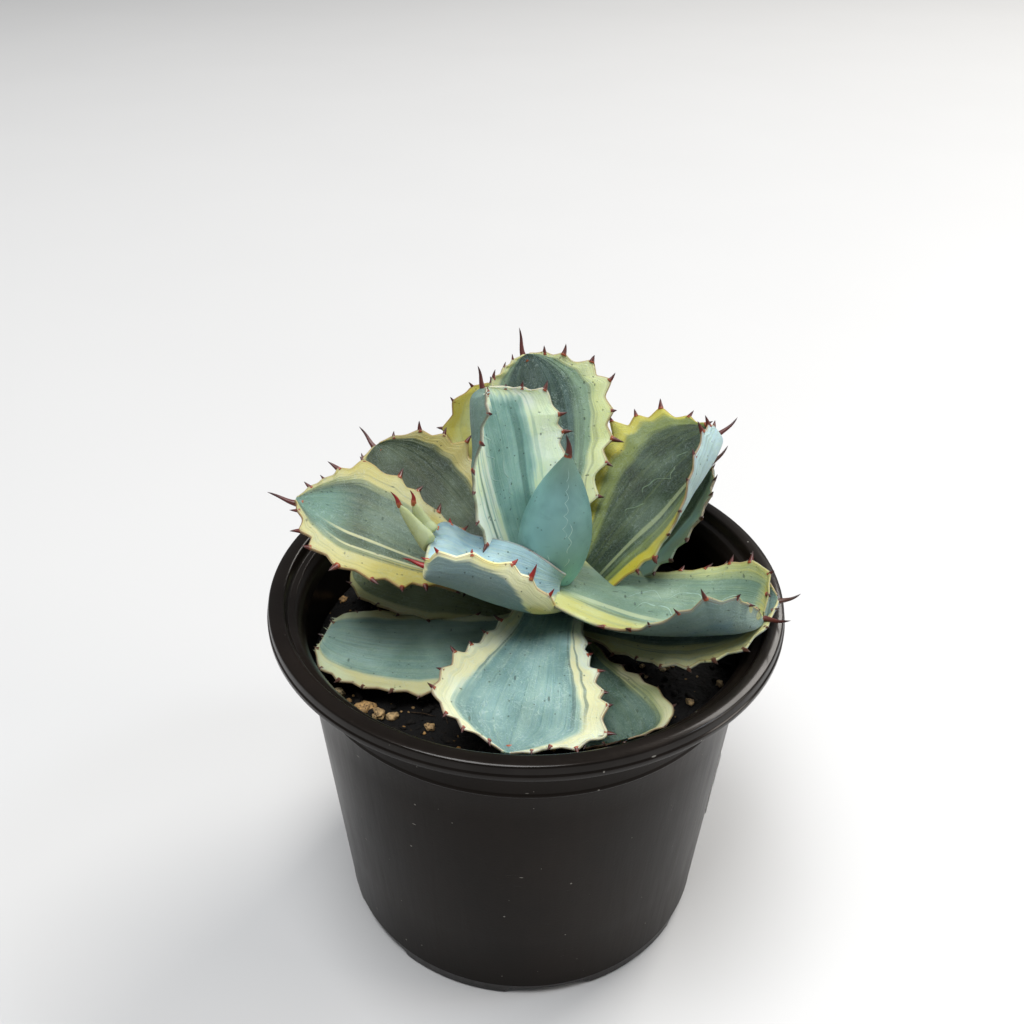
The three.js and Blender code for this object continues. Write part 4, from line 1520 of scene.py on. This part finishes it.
@dataclass
class Leaf(Piece):
    """One leaf: a thick keeled blade with drawn-out knobs along its edges, a tooth on each, and an end spine.

    bearing, reach and foot say where it leaves the crown, and tip where its blade ends. sag and drift bend its
    midrib, hook drops or lifts its last third, cup_left and cup_right curl its halves, and roll turns it.
    slide draws its left and right edges along it, and fuller widens its right half. knobs are the draws of the
    left and right edges; the bare side, 1 for the left and -1 for the right, has no knobs, and only the extra
    teeth, at their distances from the tip. The teeth start at teeth_from of an edge and stop teeth_end before its
    tip, teeth_drift off the even places and closer together towards the tip by teeth_crowding. knuckles are
    drawn-out ends: root, top and the point of its spine.
    """

    node: str
    seed: int
    bearing: float
    reach: float
    foot: float
    tip: Triple
    width: float
    neck: float
    cup_left: Triple
    cup_right: Triple
    end: Pair
    teeth: int
    sag: float = 0.0
    drift: float = 0.0
    hook: float = 0.0
    slide: Pair = (0.0, 0.0)
    fuller: float = 1.0
    roll: Triple = (0, 0, 0)
    widest: float = 0.68
    flare: float = 1.0
    spine: float = 9.0
    teeth_from: float = 0.15
    teeth_end: float = 2.6
    teeth_drift: float = 0.34
    teeth_crowding: float = 1.12
    knobs: Pair = (1.5, 1.5)
    wave: float = 0.9
    tip_ease: float = 22.0
    tooth: float = 3.6
    bare_side: int = 0
    extra_teeth: tuple[float, ...] = ()
    knuckles: tuple[tuple[Triple, Triple, Triple], ...] = ()
    fringe: int = 0
    horn: Horn = Horn.RIPE
    finish: LeafFinish | None = None
    crown: Pair = (10.0, 3.0)
    rows: int = 150
    row_crowding: float = 1.9
    columns: int = 28
    round_edge: float = 0.35
    ripple: float = 0.35
    samples: int = 240
    midrib_thickness: float = 3.6
    margin_thickness: float = 0.9

    def midrib(self, share: float) -> tuple[Vector, Vector, Vector, Vector]:
        """The middle line at a share of the length.

        Args:
            share: Where, from 0 at the foot to 1 at the tip.

        Returns:
            The point, and the ways ahead, across to the left and up out of the blade.
        """
        bearing = math.radians(self.bearing)
        foot = Vector((
            self.crown[0] + self.reach * math.cos(bearing), self.crown[1] + self.reach * math.sin(bearing), self.foot))
        tip = Vector(self.tip)
        chord = tip - foot
        aside = Vector((-chord.y, chord.x, 0)).normalized()
        up = chord.cross(aside).normalized()
        bend = (foot + tip) / 2 - 2 * self.sag * up + 2 * self.drift * aside
        last = max(share - 0.7, 0) / 0.3
        point = (1 - share) ** 2 * foot + 2 * share * (1 - share) * bend + share ** 2 * tip
        point += self.hook * last * last * up
        ahead = (1 - share) * (bend - foot) + share * (tip - bend) + self.hook * last / 0.3 * up
        ahead.normalize()
        level = Vector((-ahead.y, ahead.x, 0)).normalized()
        raised = ahead.cross(level)
        roll = math.radians(along(self.roll, share))
        across = level * math.cos(roll) + raised * math.sin(roll)
        inward = raised * math.cos(roll) - level * math.sin(roll)
        return point, ahead, across, inward

    def half_width(self, share: float) -> float:
        """Half the blade's width.

        Args:
            share: The share of the length.

        Returns:
            The half width there.
        """
        body = self.neck + (1 - self.neck) * smooth(min(share / self.widest, 1)) ** self.flare
        closing = max(share - self.widest, 0) / (1 - self.widest)
        square, blunt = self.end
        return max(self.width / 2 * body * max(1 - closing ** square, 0) ** (1 / blunt), 1.1)

    def skin(self, share: float, side: float, lobe: float) -> tuple[Vector, Vector]:
        """A point of the upper skin.

        Args:
            share: The share of the length.
            side: From -1 at the right edge to 1 at the left one.
            lobe: What the edge stands out beyond the blade's own width.

        Returns:
            The point, and the way out of the skin.
        """
        point, ahead, across, inward = self.midrib(share)
        plain = self.half_width(share)
        half = plain * (1 if side > 0 else self.fuller) + lobe
        curl = math.radians(along(self.cup_left if side > 0 else self.cup_right, share)) + 1e-3
        angle = curl * side
        place = point + across * (half * math.sin(angle) / curl) + inward * (half * (1 - math.cos(angle)) / curl)
        slide = self.slide[0] if side > 0 else self.slide[1]
        place += ahead * (slide * abs(side) * share * share * 2 * plain / self.width)
        return place, inward * math.cos(angle) - across * math.sin(angle)

    def measure(self, side: int) -> list[Pair]:
        """Measures an edge.

        Args:
            side: 1 for the left edge and -1 for the right one.

        Returns:
            Pairs of a share of the blade's length and the distance run along the edge, in millimetres.
        """
        pairs, run, last = [], 0.0, self.skin(0, side, 0)[0]
        for i in range(self.samples + 1):
            share = 1 - (1 - i / self.samples) ** 2
            point = self.skin(share, side, 0)[0]
            run += (point - last).length
            last = point
            pairs.append((share, run + 1e-6 * i))
        return pairs

    def edge(self, share: float, side: int) -> tuple[Vector, Vector, Vector]:
        """The edge at a place.

        Args:
            share: The share of the length.
            side: 1 for the left edge and -1 for the right one.

        Returns:
            The ways along it towards the tip, out of the skin, and off the edge.
        """
        step = 0.02 * (1 - share) + 0.0004
        before = self.skin(max(share - step, 0), side, 0)[0]
        after = self.skin(min(share + step, 1), side, 0)[0]
        out = self.skin(share, side, 0)[1]
        run = (after - before).normalized()
        off = out.cross(run) * side
        return run, out, off.normalized()

    def tooth_place(self, index: int, side: int) -> float:
        """How far along an edge a tooth stands, a little off the even places.

        Args:
            index: The tooth's number from the foot.
            side: 1 for the left edge and -1 for the right one.

        Returns:
            The distance from the foot, in millimetres.
        """
        whole = self.edges[side][-1][1]
        start, end = self.teeth_from * whole, whole - self.teeth_end
        step = (index + 0.5 + self.teeth_drift * (draw(index + 90, self.seed + side) - 0.5)) / self.teeth
        return start + (end - start) * (1 - (1 - step) ** self.teeth_crowding)

    def knob(self, share: float, side: int) -> Pair:
        """How far the edge is drawn out at a place, and how far it is bent out of the blade.

        Args:
            share: The share of the length.
            side: 1 for the left edge and -1 for the right one.

        Returns:
            The draw, and the bend, in millimetres.
        """
        drawn, bent = 0.0, 0.0
        if side == self.bare_side:
            return drawn, bent
        knobs = self.knobs[0] if side > 0 else self.knobs[1]
        here = read(self.edges[side], share)
        for k in range(self.teeth):
            centre = self.tooth_place(k, side)
            spacing = (self.tooth_place(k + 1, side) if k < self.teeth - 1 else centre + 6) - centre
            if k:
                spacing = min(spacing, centre - self.tooth_place(k - 1, side))
            reach = 0.66 * spacing * (0.9 + 0.2 * draw(k + 31, self.seed + side))
            near = max(1 - abs(here - centre) / reach, 0)
            ease = min(1, (self.edges[side][-1][1] - centre) / self.tip_ease)
            size = knobs * (0.55 + 0.8 * draw(k, self.seed + side)) * min(1, reach / 4) * ease
            drawn = max(drawn, size * (0.5 * smooth(near) + 0.5 * near ** 2.4))
            bent += self.wave * (2 * draw(k + 7, self.seed + side) - 1) * near ** 1.4
        return drawn, bent

    def thickness(self, share: float, side: float) -> float:
        """The blade's thickness at a place."""
        keel = (self.midrib_thickness - self.margin_thickness) * (1 - side * side) * (1 - 0.45 * share)
        return self.margin_thickness + keel

    def build_blade(self, mesh: Mesh) -> None:
        """Rolls the blade's two skins out of one grid, with a round edge on each side.

        Args:
            mesh: The mesh that it is added to.
        """
        section = []
        for i in range(self.columns + 1):
            x = 2 * i / self.columns - 1
            section.append((x * (1 + 0.35 * (1 - x * x)), 0.0))
        section.append((1.0, 0.5))
        section += [(side, 1.0) for side, _ in reversed(section[:self.columns + 1])]
        section.append((-1.0, 0.5))
        edges: dict[tuple[int, int], tuple[float, float, Vector]] = {}

        def place(i: int, j: int) -> Spot:
            """One point of the blade.

            Args:
                i: The step along it.
                j: The step round it.

            Returns:
                The point, and what each layer keeps there.
            """
            share = 1 - (1 - i / self.rows) ** self.row_crowding
            side, depth = section[j]
            hand = 1 if side > 0 else -1
            if (i, hand) not in edges:
                edges[i, hand] = (*self.knob(share, hand), self.edge(share, hand)[2])
            drawn, bent, off = edges[i, hand]
            spot, out = self.skin(share, side, 0)
            spot += off * (drawn * abs(side) ** 7 + (self.round_edge if depth == 0.5 else 0.0))
            ripple = self.ripple * noise.noise(Vector((share * 5, side * 1.6, self.seed * 3.7))) * min(share * 4, 1)
            spot += out * (bent * abs(side) ** 4 + ripple)
            spot -= out * (self.thickness(share, side) * depth)
            return spot, {"blade": Vector((share, side, smooth(depth))), "horn": 0.0}

        wrap(mesh, self.rows, len(section), place)

    def build_teeth(self, mesh: Mesh) -> None:
        """Sets a curved, flattened tooth on each knob.

        Args:
            mesh: The mesh that they are added to.
        """
        places = [(self.tooth_place(k, side), side) for side in (-1, 1) for k in range(self.teeth)
                  if side != self.bare_side]
        places += [(self.edges[self.bare_side][-1][1] - far, self.bare_side) for far in self.extra_teeth]
        for k, (place, side) in enumerate(places):
            share = read([(far, at) for at, far in self.edges[side]], place)
            drawn, bent = self.knob(share, side)
            run, out, off = self.edge(share, side)
            start = self.skin(share, side, 0)[0] + off * drawn + out * (bent - self.margin_thickness / 2)
            ease = min(1, 0.45 + 0.55 * (self.edges[side][-1][1] - place) / self.tip_ease)
            reach = self.tooth * (0.5 + 0.7 * draw(k, self.seed + 3)) * ease
            lying = draw(k + 75, self.seed) > 0.74
            lean = (1.6 if lying else 0.8) * (draw(k + 20, self.seed) - 0.42)
            hooked = 1.4 * (draw(k + 40, self.seed) - 0.4)
            rise = 0.9 * (draw(k + 60, self.seed) - 0.25)
            path = []
            for far in shares(HORN_STEPS):
                step = off * (reach * (0.5 if lying else 1.0) * far - 0.9 * (1 - far))
                path.append(start + step + run * (lean * reach * far + hooked * far * far) + out * (rise * far * far))
            horn(mesh, path, taper(0.52 + 0.15 * reach), out, 0.72)

    def build_knuckles(self, mesh: Mesh) -> None:
        """Draws the end out into fat knuckles, each with its own spine.

        Args:
            mesh: The mesh that they are added to.
        """
        for root, top, point in self.knuckles:
            start, knee, end = Vector(root), Vector(top), Vector(point)
            path, radii = [], []
            for share in shares(KNUCKLE_STEPS):
                path.append(start.lerp(knee, share) + (knee - end) * (0.3 * math.sin(math.pi * share)))
                swell = 1 - (2 * share - 0.5) ** 2 if share < 0.5 else 1 - (share - 0.25) ** 2
                radii.append((2.9 * max(swell, 0) * (1 - share) + 1.4) * (1 - 0.75 * max(share - 0.85, 0) / 0.15))
            skin = (Vector((0.97, 0.92, 0)), Vector((0.97, 0.94, 0)))
            horn(mesh, path, radii, Vector((0.2, 1, 0.1)), 0.42, 18, 0, skin)
            bow = Vector((0.5, 0, 0))
            path = [knee.lerp(end, share) + bow * math.sin(math.pi * share) for share in shares(HORN_STEPS)]
            path[0] -= (end - knee).normalized() * 0.9
            horn(mesh, path, taper(0.8), Vector((0, 1, 0)), 0.9, 10)

    def build_fringe(self, mesh: Mesh) -> None:
        """Sets a fringe of pale, hair-thin teeth on a blunt end.

        Args:
            mesh: The mesh that they are added to.
        """
        for k in range(self.fringe):
            side = 1.8 * (k + 0.8 * draw(k, self.seed + 5)) / self.fringe - 0.9
            start, out = self.skin(0.985, side, 0.2)
            _, ahead, across, _ = self.midrib(1)
            reach = 1.2 + 2.4 * draw(k + 3, self.seed + 5)
            bend = 1.6 * (draw(k + 11, self.seed + 5) - 0.5)
            path = [
                start - out * 0.4 + ahead * (reach * share - 0.4) + across * (bend * share ** 2)
                for share in shares(HAIR_STEPS)]
            radii = [0.2 * (1 - share) ** 0.7 + 0.03 for share in shares(HAIR_STEPS)]
            pale = Vector((0.9, 0.97, 0))
            horn(mesh, path, radii, out, 0.9, 5, 0, (pale, pale))

    def build_spine(self, mesh: Mesh) -> None:
        """Sets the long spine on the end of the blade.

        Args:
            mesh: The mesh that it is added to.
        """
        point, ahead, across, inward = self.midrib(1)
        middle = point - inward * (self.thickness(1, 0) / 2)
        path, radii = [], []
        for share in shares(SPINE_STEPS):
            bow = inward * (-0.5 * math.sin(math.pi * share)) + across * (0.35 * math.sin(2 * math.pi * share))
            path.append(middle + ahead * (-2.6 + (self.spine + 2.4) * share) + bow)
            radii.append(1.42 * (1 - share) ** 0.8 * (1 - 0.25 * math.sin(math.pi * share)) + 0.05)
        horn(mesh, path, radii, inward, 0.9, 12)

    def build(self, effects: Effects) -> None:
        """Builds the leaf.

        Args:
            effects: The shared shader groups.
        """
        mesh = layered()
        self.edges = {side: self.measure(side) for side in (-1, 1)}
        self.build_blade(mesh)
        self.build_teeth(mesh)
        self.build_knuckles(mesh)
        self.build_fringe(mesh)
        self.build_spine(mesh)
        point_outwards(mesh)
        skin = self.finish.material(f"{self.node}_skin", self.seed * 1.7, effects)
        name = self.node.replace("leaf_", "blade_")
        self.keep(mesh, name, [skin, self.horn.value.material(f"{self.node}_horn")], "leaf", self.node)


CREAM = tone(206, 204, 158)
YELLOW = tone(198, 184, 92)
MINT = tone(180, 212, 200)
SLATE = tone(84, 108, 102)
OLIVE = tone(88, 104, 78)

# Each leaf: node, seed, bearing, reach, foot, tip, width, neck, cup left, cup right, end and teeth, and then what
# isn't as usual. Each finish: centre, deep, band, margin, warm and under.
LEAVES = (
    # Its pale left margin is brightened to near white, partly as painted highlight.
    Leaf(
        "leaf_inner_upright", 0, 155, 9, 123, (-11.5, 19.5, 180.5), 41, 0.66, (15, 30, 100), (60, 45, 25), (6, 5), 8,
        sag=2, hook=-2, slide=(0, -8), widest=0.8, spine=7, knobs=(2.0, 2.8), tooth=2.6,
        finish=LeafFinish(
            tone(146, 188, 178), tone(116, 158, 148), tone(190, 220, 204), tone(238, 250, 232),
            tone(226, 242, 204), tone(92, 116, 104), left=(0.5, 0.66, 0.6), right=(0.5, 0.5, 0.42),
            band_width=0.08, crazing=0.12, pale_under=0.0,
            stripes=(
                Stripe(-0.34, 0.08, 0.15, 0.98, tone(84, 124, 116)), Stripe(0.56, 0.03, 0.1, 0.9, MINT),
                Stripe(0.68, 0.035, 0.1, 0.9, tone(84, 122, 110)), Stripe(0.8, 0.02, 0.2, 0.95, MINT)),
            imprints=(Imprint(0.2, 0.16, 5.0, 0.5, 0.86), Imprint(-0.08, 0.1, 4.0, 0.4, 0.62)))),
    Leaf(
        "leaf_front_cupped", 1, 272.5, 11.5, 125.2, (-28, -19.4, 146), 43, 0.3, (95, 113, 114), (70, 8, -8), (4, 4), 6,
        sag=2.5, drift=3.4, hook=-2.8, roll=(-63, -11, -17), widest=0.67, flare=0.64, spine=7, knobs=(2.2, 0),
        bare_side=-1, extra_teeth=(14.0, 22.0), horn=Horn.FRESH,
        knuckles=(
            ((-28.6, -12.5, 144.8), (-38.2, -4.5, 153.4), (-40.4, -4.5, 157.8)),
            ((-28.6, -8.5, 145.6), (-33.8, -4.5, 154.2), (-34.6, -4.5, 158.4))),
        finish=LeafFinish(
            tone(190, 220, 226), tone(128, 162, 174), tone(206, 212, 168), tone(246, 244, 200),
            tone(226, 216, 132), tone(124, 144, 138), left=(0.95, 0.3, 0.08), right=(-0.3, -0.3, 0.06),
            band_width=0.05, wobble=0.2, streaks=0.1, pale_under=1.0, crazing=0.06, rim=1.0, striae=0.5,
            stripes=(Stripe(0.93, 0.16, 0.8, 1.5, tone(176, 178, 98)),))),
    Leaf(
        "leaf_back_centre", 2, 98, 10, 114, (-1, 53.5, 176), 49, 0.34, (45, 40, 30), (45, 40, 30), (2.2, 1.4), 9,
        sag=3, drift=-2, roll=(0, 8, 18), widest=0.78, flare=1.2, knobs=(1.6, 3.2),
        finish=LeafFinish(
            tone(62, 86, 80), tone(40, 58, 50), tone(130, 156, 128), tone(214, 222, 172), tone(204, 212, 144),
            SLATE, left=(0.2, 0.24, 0.2), right=(0.3, 0.28, 0.22), band_width=0.24, streaks=0.35, rim=0.35,
            scar=tone(120, 146, 130),
            stripes=(
                Stripe(0.0, 0.34, 0.66, 1.15, tone(46, 64, 56)), Stripe(-0.5, 0.05, 0.3, 0.95, SLATE),
                Stripe(-0.66, 0.04, 0.2, 0.6, tone(96, 116, 92))),
            imprints=(Imprint(-0.2, 0.08, 3.0, 0.6, 0.86),))),
    Leaf(
        "leaf_right_front", 3, 320, 2, 122.4, (69, -24.5, 131.8), 40, 0.8, (11, 8, 54), (15, 42, 109), (3, 3), 8,
        sag=7, drift=3.4, hook=-1.9, slide=(0, 8.4), fuller=1.56, roll=(-12, -1, 10), knobs=(1.0, 2.0), tooth=2.8,
        finish=LeafFinish(
            tone(128, 152, 132), tone(100, 126, 108), tone(148, 160, 116), tone(184, 190, 132), tone(172, 170, 96),
            tone(112, 142, 146), left=(0.1, 0.15, 0.2), right=(0.6, 0.5, 0.24), band_width=0.12, rim=1.0,
            crazing=0.12,
            stripes=(Stripe(-0.3, 0.06, 0.0, 0.6, tone(176, 186, 148)), Stripe(-0.42, 0.035, 0.02, 0.55, OLIVE)),
            imprints=(Imprint(0.1, 0.3, 2.2, 0.3, 0.95, 0.016), Imprint(-0.2, 0.2, 3.0, 0.36, 0.84, 0.014)))),
    Leaf(
        "leaf_left_large", 4, 184, 8, 114, (-70.5, 4.5, 150), 46, 0.28, (30, 4, 5), (20, 15, 25), (1.6, 1.1), 9,
        sag=-1, drift=1, hook=-1, fuller=1.13, widest=0.76, knobs=(3.6, 2.2),
        finish=LeafFinish(
            tone(88, 108, 90), tone(60, 76, 62), tone(136, 144, 104), tone(182, 178, 128),
            tone(184, 172, 92), SLATE,
            left=(0.4, 0.4, 0.26), right=(0.26, 0.3, 0.16), rim=0.0, crazing=0.14, band_width=0.1,
            stripes=(
                Stripe(0.0, 0.7, 0.74, 1.25, tone(104, 140, 126)), Stripe(0.3, 0.036, 0.1, 0.92, CREAM),
                Stripe(0.43, 0.07, 0.05, 0.95, tone(66, 82, 62)), Stripe(0.55, 0.03, 0.1, 0.9, CREAM),
                Stripe(0.64, 0.025, 0.15, 0.8, tone(84, 98, 72))))),
    # Partly painted: its centre is darkened as painted shade, its yellow margins brightened as painted glow.
    Leaf(
        "leaf_right_rear", 5, 42, 8, 112, (61.5, 38, 156), 54, 0.36, (0, 22, 5), (-5, 45, 130), (2.4, 2), 9,
        sag=-2, drift=1, knobs=(5.0, 1.8), tooth=3.6,
        finish=LeafFinish(
            tone(54, 72, 50), tone(30, 44, 30), tone(116, 128, 66), tone(188, 184, 78), tone(188, 174, 50),
            tone(172, 202, 204), left=(0.5, 0.3, 0.05), right=(0.24, 0.26, 0.16), band_width=0.24,
            pale_under=0.04, crazing=0.1, scar=tone(122, 144, 116),
            stripes=(
                Stripe(-0.36, 0.06, 0.05, 0.88, tone(150, 160, 118)), Stripe(-0.5, 0.045, 0.05, 0.9, OLIVE),
                Stripe(0.3, 0.03, 0.2, 0.95, tone(50, 66, 44))),
            imprints=(Imprint(-0.02, 0.2, 3.0, 0.4, 0.86, 0.016),))),
    Leaf(
        "leaf_front_centre", 6, 258, 8, 114.5, (-4.5, -64, 112), 48, 0.46, (20, 10, 10), (20, 25, 50), (1.6, 1.1),
        9, sag=-4, widest=0.84, flare=1.5, spine=4, knobs=(2.2, 2.4), wave=1.2, tooth=2.2,
        finish=LeafFinish(
            tone(122, 156, 152), tone(94, 128, 124), tone(168, 188, 166), tone(212, 220, 194), tone(212, 210, 164),
            tone(114, 142, 146), left=(0.3, 0.32, 0.26), right=(0.3, 0.36, 0.3), streaks=0.2, crazing=0.26,
            stripes=(
                Stripe(0.66, 0.03, 0.1, 0.9, SLATE), Stripe(0.78, 0.025, 0.05, 0.85, SLATE),
                Stripe(-0.68, 0.026, 0.0, 0.7, SLATE)))),
    # Its centre and deep tones are darkened, partly as painted shade.
    Leaf(
        "leaf_left_rear", 7, 142, 8, 108.5, (-51.5, 46, 145), 43, 0.4, (5, 5, 15), (15, 30, 35), (2.4, 1.6), 8,
        sag=3, roll=(-8, -10, -6), knobs=(1.8, 3.6),
        finish=LeafFinish(
            tone(66, 80, 56), tone(46, 58, 40), tone(112, 118, 80), tone(196, 188, 134), tone(190, 178, 108),
            SLATE, left=(0.24, 0.22, 0.2), right=(0.2, 0.26, 0.24), crazing=0.1)),
    # Its tones are lightened, partly as painted light against the shade under leaf_right_front.
    Leaf(
        "leaf_right_low", 8, 342, 8, 107.5, (75.5, -15, 129), 44, 0.42, (0, 0, 35), (15, 0, 15), (2.4, 1.6), 8,
        sag=2, drift=-3, widest=0.6, spine=7, knobs=(1.4, 2.0), tooth=2.2, horn=Horn.OLD,
        finish=LeafFinish(
            tone(118, 146, 138), tone(86, 110, 104), tone(150, 162, 126), tone(206, 208, 156), tone(200, 196, 130),
            tone(142, 162, 174), left=(0.16, 0.2, 0.2), right=(0.3, 0.38, 0.24))),
    # Its tones are lightened, partly as painted light against the shade of leaf_left_large over it.
    Leaf(
        "leaf_left_low", 9, 199, 8, 107, (-63, -10, 108), 41, 0.34, (10, 5, 0), (0, -8, 0), (1.6, 4), 9,
        sag=1.5, drift=8.5, slide=(-2, 2), widest=0.52, flare=1.1, spine=3, knobs=(2.0, 1.5), tooth=2.0,
        fringe=22, horn=Horn.OLD,
        finish=LeafFinish(
            tone(142, 172, 160), tone(106, 136, 124), tone(168, 182, 150), tone(196, 204, 164), tone(196, 192, 140),
            tone(104, 130, 132), left=(0.34, 0.3, 0.26), right=(0.24, 0.26, 0.26), streaks=0.3, crazing=0.1)),
    Leaf(
        "leaf_back_low_right", 10, 72, 8, 104, (28, 54, 116), 36, 0.38, (0, 15, 20), (0, 10, 20), (2.4, 1.6), 7,
        spine=6, horn=Horn.OLD, finish=LeafFinish(tone(96, 122, 108), tone(70, 92, 80), OLIVE, CREAM, YELLOW, SLATE)),
    # Its yellow margins are brightened, partly as painted glow of light shining through them.
    Leaf(
        "leaf_back_left", 11, 111, 8, 105.5, (-13, 67, 158.5), 34, 0.4, (0, 0, 0), (5, 30, 20), (3.4, 2.4), 8,
        sag=9, roll=(-8, -10, 0), spine=2.5, knobs=(4.2, 2.0),
        finish=LeafFinish(
            tone(84, 108, 84), tone(62, 84, 62), tone(150, 156, 84), tone(194, 204, 144), tone(186, 176, 72),
            SLATE, left=(0.6, 0.8, 1.2), right=(0.2, 0.3, 0.8), band_width=0.2, streaks=0.1, crazing=0.05)),
    Leaf(
        "leaf_front_right_low", 12, 302, 8, 105.5, (29, -50, 104), 34, 0.32, (5, 10, 10), (5, 10, 10), (4, 3), 7,
        sag=-2, drift=-1, widest=0.86, flare=2, spine=4, tooth=1.8, horn=Horn.OLD,
        finish=LeafFinish(
            tone(72, 98, 82), tone(50, 70, 58), tone(106, 120, 84), tone(146, 154, 104), CREAM, SLATE,
            left=(0.3, 0.34, 0.3), right=(-0.2, -0.2, 0.02), crazing=0.1)),
    # Its tones are lightened, partly as painted light against the shade of the leaves over it.
    Leaf(
        "leaf_left_under", 13, 160, 8, 104, (-59, 24.5, 109), 30, 0.36, (0, 5, 10), (0, 0, 5), (2.4, 1.6), 7,
        roll=(-2, -4, -4), spine=4, knobs=(1.0, 1.0), tooth=2.4, horn=Horn.OLD,
        finish=LeafFinish(
            tone(142, 154, 112), tone(112, 126, 86), tone(166, 172, 118), tone(196, 196, 132), CREAM, SLATE)),
    Leaf(
        "leaf_right_under", 14, 28, 8, 106, (61, 42.5, 142), 39, 0.38, (10, 15, 20), (0, 35, 60), (2.4, 1.6), 8,
        sag=2, drift=2, knobs=(1.6, 2.2), tooth=2.6, horn=Horn.OLD,
        finish=LeafFinish(
            tone(90, 108, 76), tone(66, 84, 56), tone(136, 156, 126), tone(180, 194, 160), MINT, SLATE,
            left=(0.24, 0.24, 0.2), right=(0.36, 0.44, 0.34))),
    Leaf(
        "leaf_back_low_left", 15, 124, 8, 104.5, (-28, 54, 114), 30, 0.34, (15, 25, 20), (0, 10, 20), (2.4, 1.6), 7,
        spine=6, horn=Horn.OLD, finish=LeafFinish(tone(92, 118, 100), tone(68, 90, 74), OLIVE, CREAM, YELLOW, SLATE)),
)


# ---- Studio


@dataclass
class Studio:
    """The camera at the photograph's angle, a plain pale floor and soft light."""

    place: Triple = (0.0, -0.2795, 0.3294)
    yaw: float = -0.93
    pitch: float = 32.92
    roll: float = 0.45
    focal: float = 1100.0
    frame: float = 1024.0
    sensor: float = 36.0

    def build_camera(self) -> None:
        """Sets the camera up."""
        yaw, pitch, roll = (math.radians(angle) for angle in (self.yaw, self.pitch, self.roll))
        ahead = Vector((math.sin(yaw) * math.cos(pitch), math.cos(yaw) * math.cos(pitch), -math.sin(pitch)))
        level = Vector((math.cos(yaw), -math.sin(yaw), 0))
        raised = level.cross(ahead)
        right = level * math.cos(roll) + raised * math.sin(roll)
        up = raised * math.cos(roll) - level * math.sin(roll)
        data = bpy.data.cameras.new("camera")
        data.sensor_width = self.sensor
        data.lens = self.sensor * self.focal / self.frame
        data.clip_start, data.clip_end = 0.01, 20
        camera = linked("camera", data)
        turned = Matrix((right, up, -ahead)).transposed().to_4x4()
        camera.matrix_world = Matrix.Translation(Vector(self.place)) @ turned
        bpy.context.scene.camera = camera

    def build_floor(self) -> None:
        """Lays the floor."""
        mesh = bmesh.new()
        bmesh.ops.create_circle(mesh, cap_ends=True, segments=64, radius=4.0)
        floor = placed(mesh, "floor", 1.0)
        floor.data.materials.append(FloorFinish().material())

    def build_light(
        self, name: str, place: Triple, aim: Triple, size: float, power: float, colour: Triple
    ) -> None:
        """Hangs one soft light.

        Args:
            name: Its name.
            place: Where it hangs.
            aim: What it is turned to.
            size: Its edge, in metres.
            power: Its power, in watts.
            colour: Its colour.
        """
        data = bpy.data.lights.new(name, "AREA")
        data.size, data.energy, data.color = size, power, colour
        lamp = linked(name, data)
        lamp.location = place
        lamp.rotation_euler = (Vector(aim) - Vector(place)).to_track_quat("-Z", "Y").to_euler()

    def build(self) -> None:
        """Builds the whole studio."""
        self.build_camera()
        self.build_floor()
        self.build_light("window", (1.7, 1.9, 2.4), (0, 0, 0.1), 1.5, 84.0, (1.0, 0.98, 0.94))
        self.build_light("sky", (-0.5, -0.5, 3.3), (0, 0, 0.1), 1.6, 108.0, (0.96, 0.98, 1.0))
        self.build_light("side", (0.9, -0.1, 0.45), (0.05, 0, 0.1), 0.3, 2.2, (1.0, 0.93, 0.86))
        self.build_light("pane", (1.25, 0.1, 1.5), (0, 0, 0.1), 0.3, 4.0, (0.78, 0.89, 1.0))
        world = bpy.data.worlds.new("studio")
        world.use_nodes = True
        world.node_tree.nodes["Background"].inputs["Color"].default_value = (0.92, 0.95, 1.0, 1.0)
        world.node_tree.nodes["Background"].inputs["Strength"].default_value = 0.22
        bpy.context.scene.world = world
        bpy.context.scene.view_settings.view_transform = "Standard"


def main() -> None:
    """Builds the studio and every sub-assembly."""
    Studio().build()
    effects = Effects()
    pot = Pot()
    pot.build()
    Label(pot).build()
    Soil(pot).build()
    Crown().build()
    Bud().build(effects)
    for leaf in LEAVES:
        leaf.build(effects)


if __name__ == "__main__":
    logging.basicConfig(level=logging.INFO, format="%(name)s %(message)s")
    main()
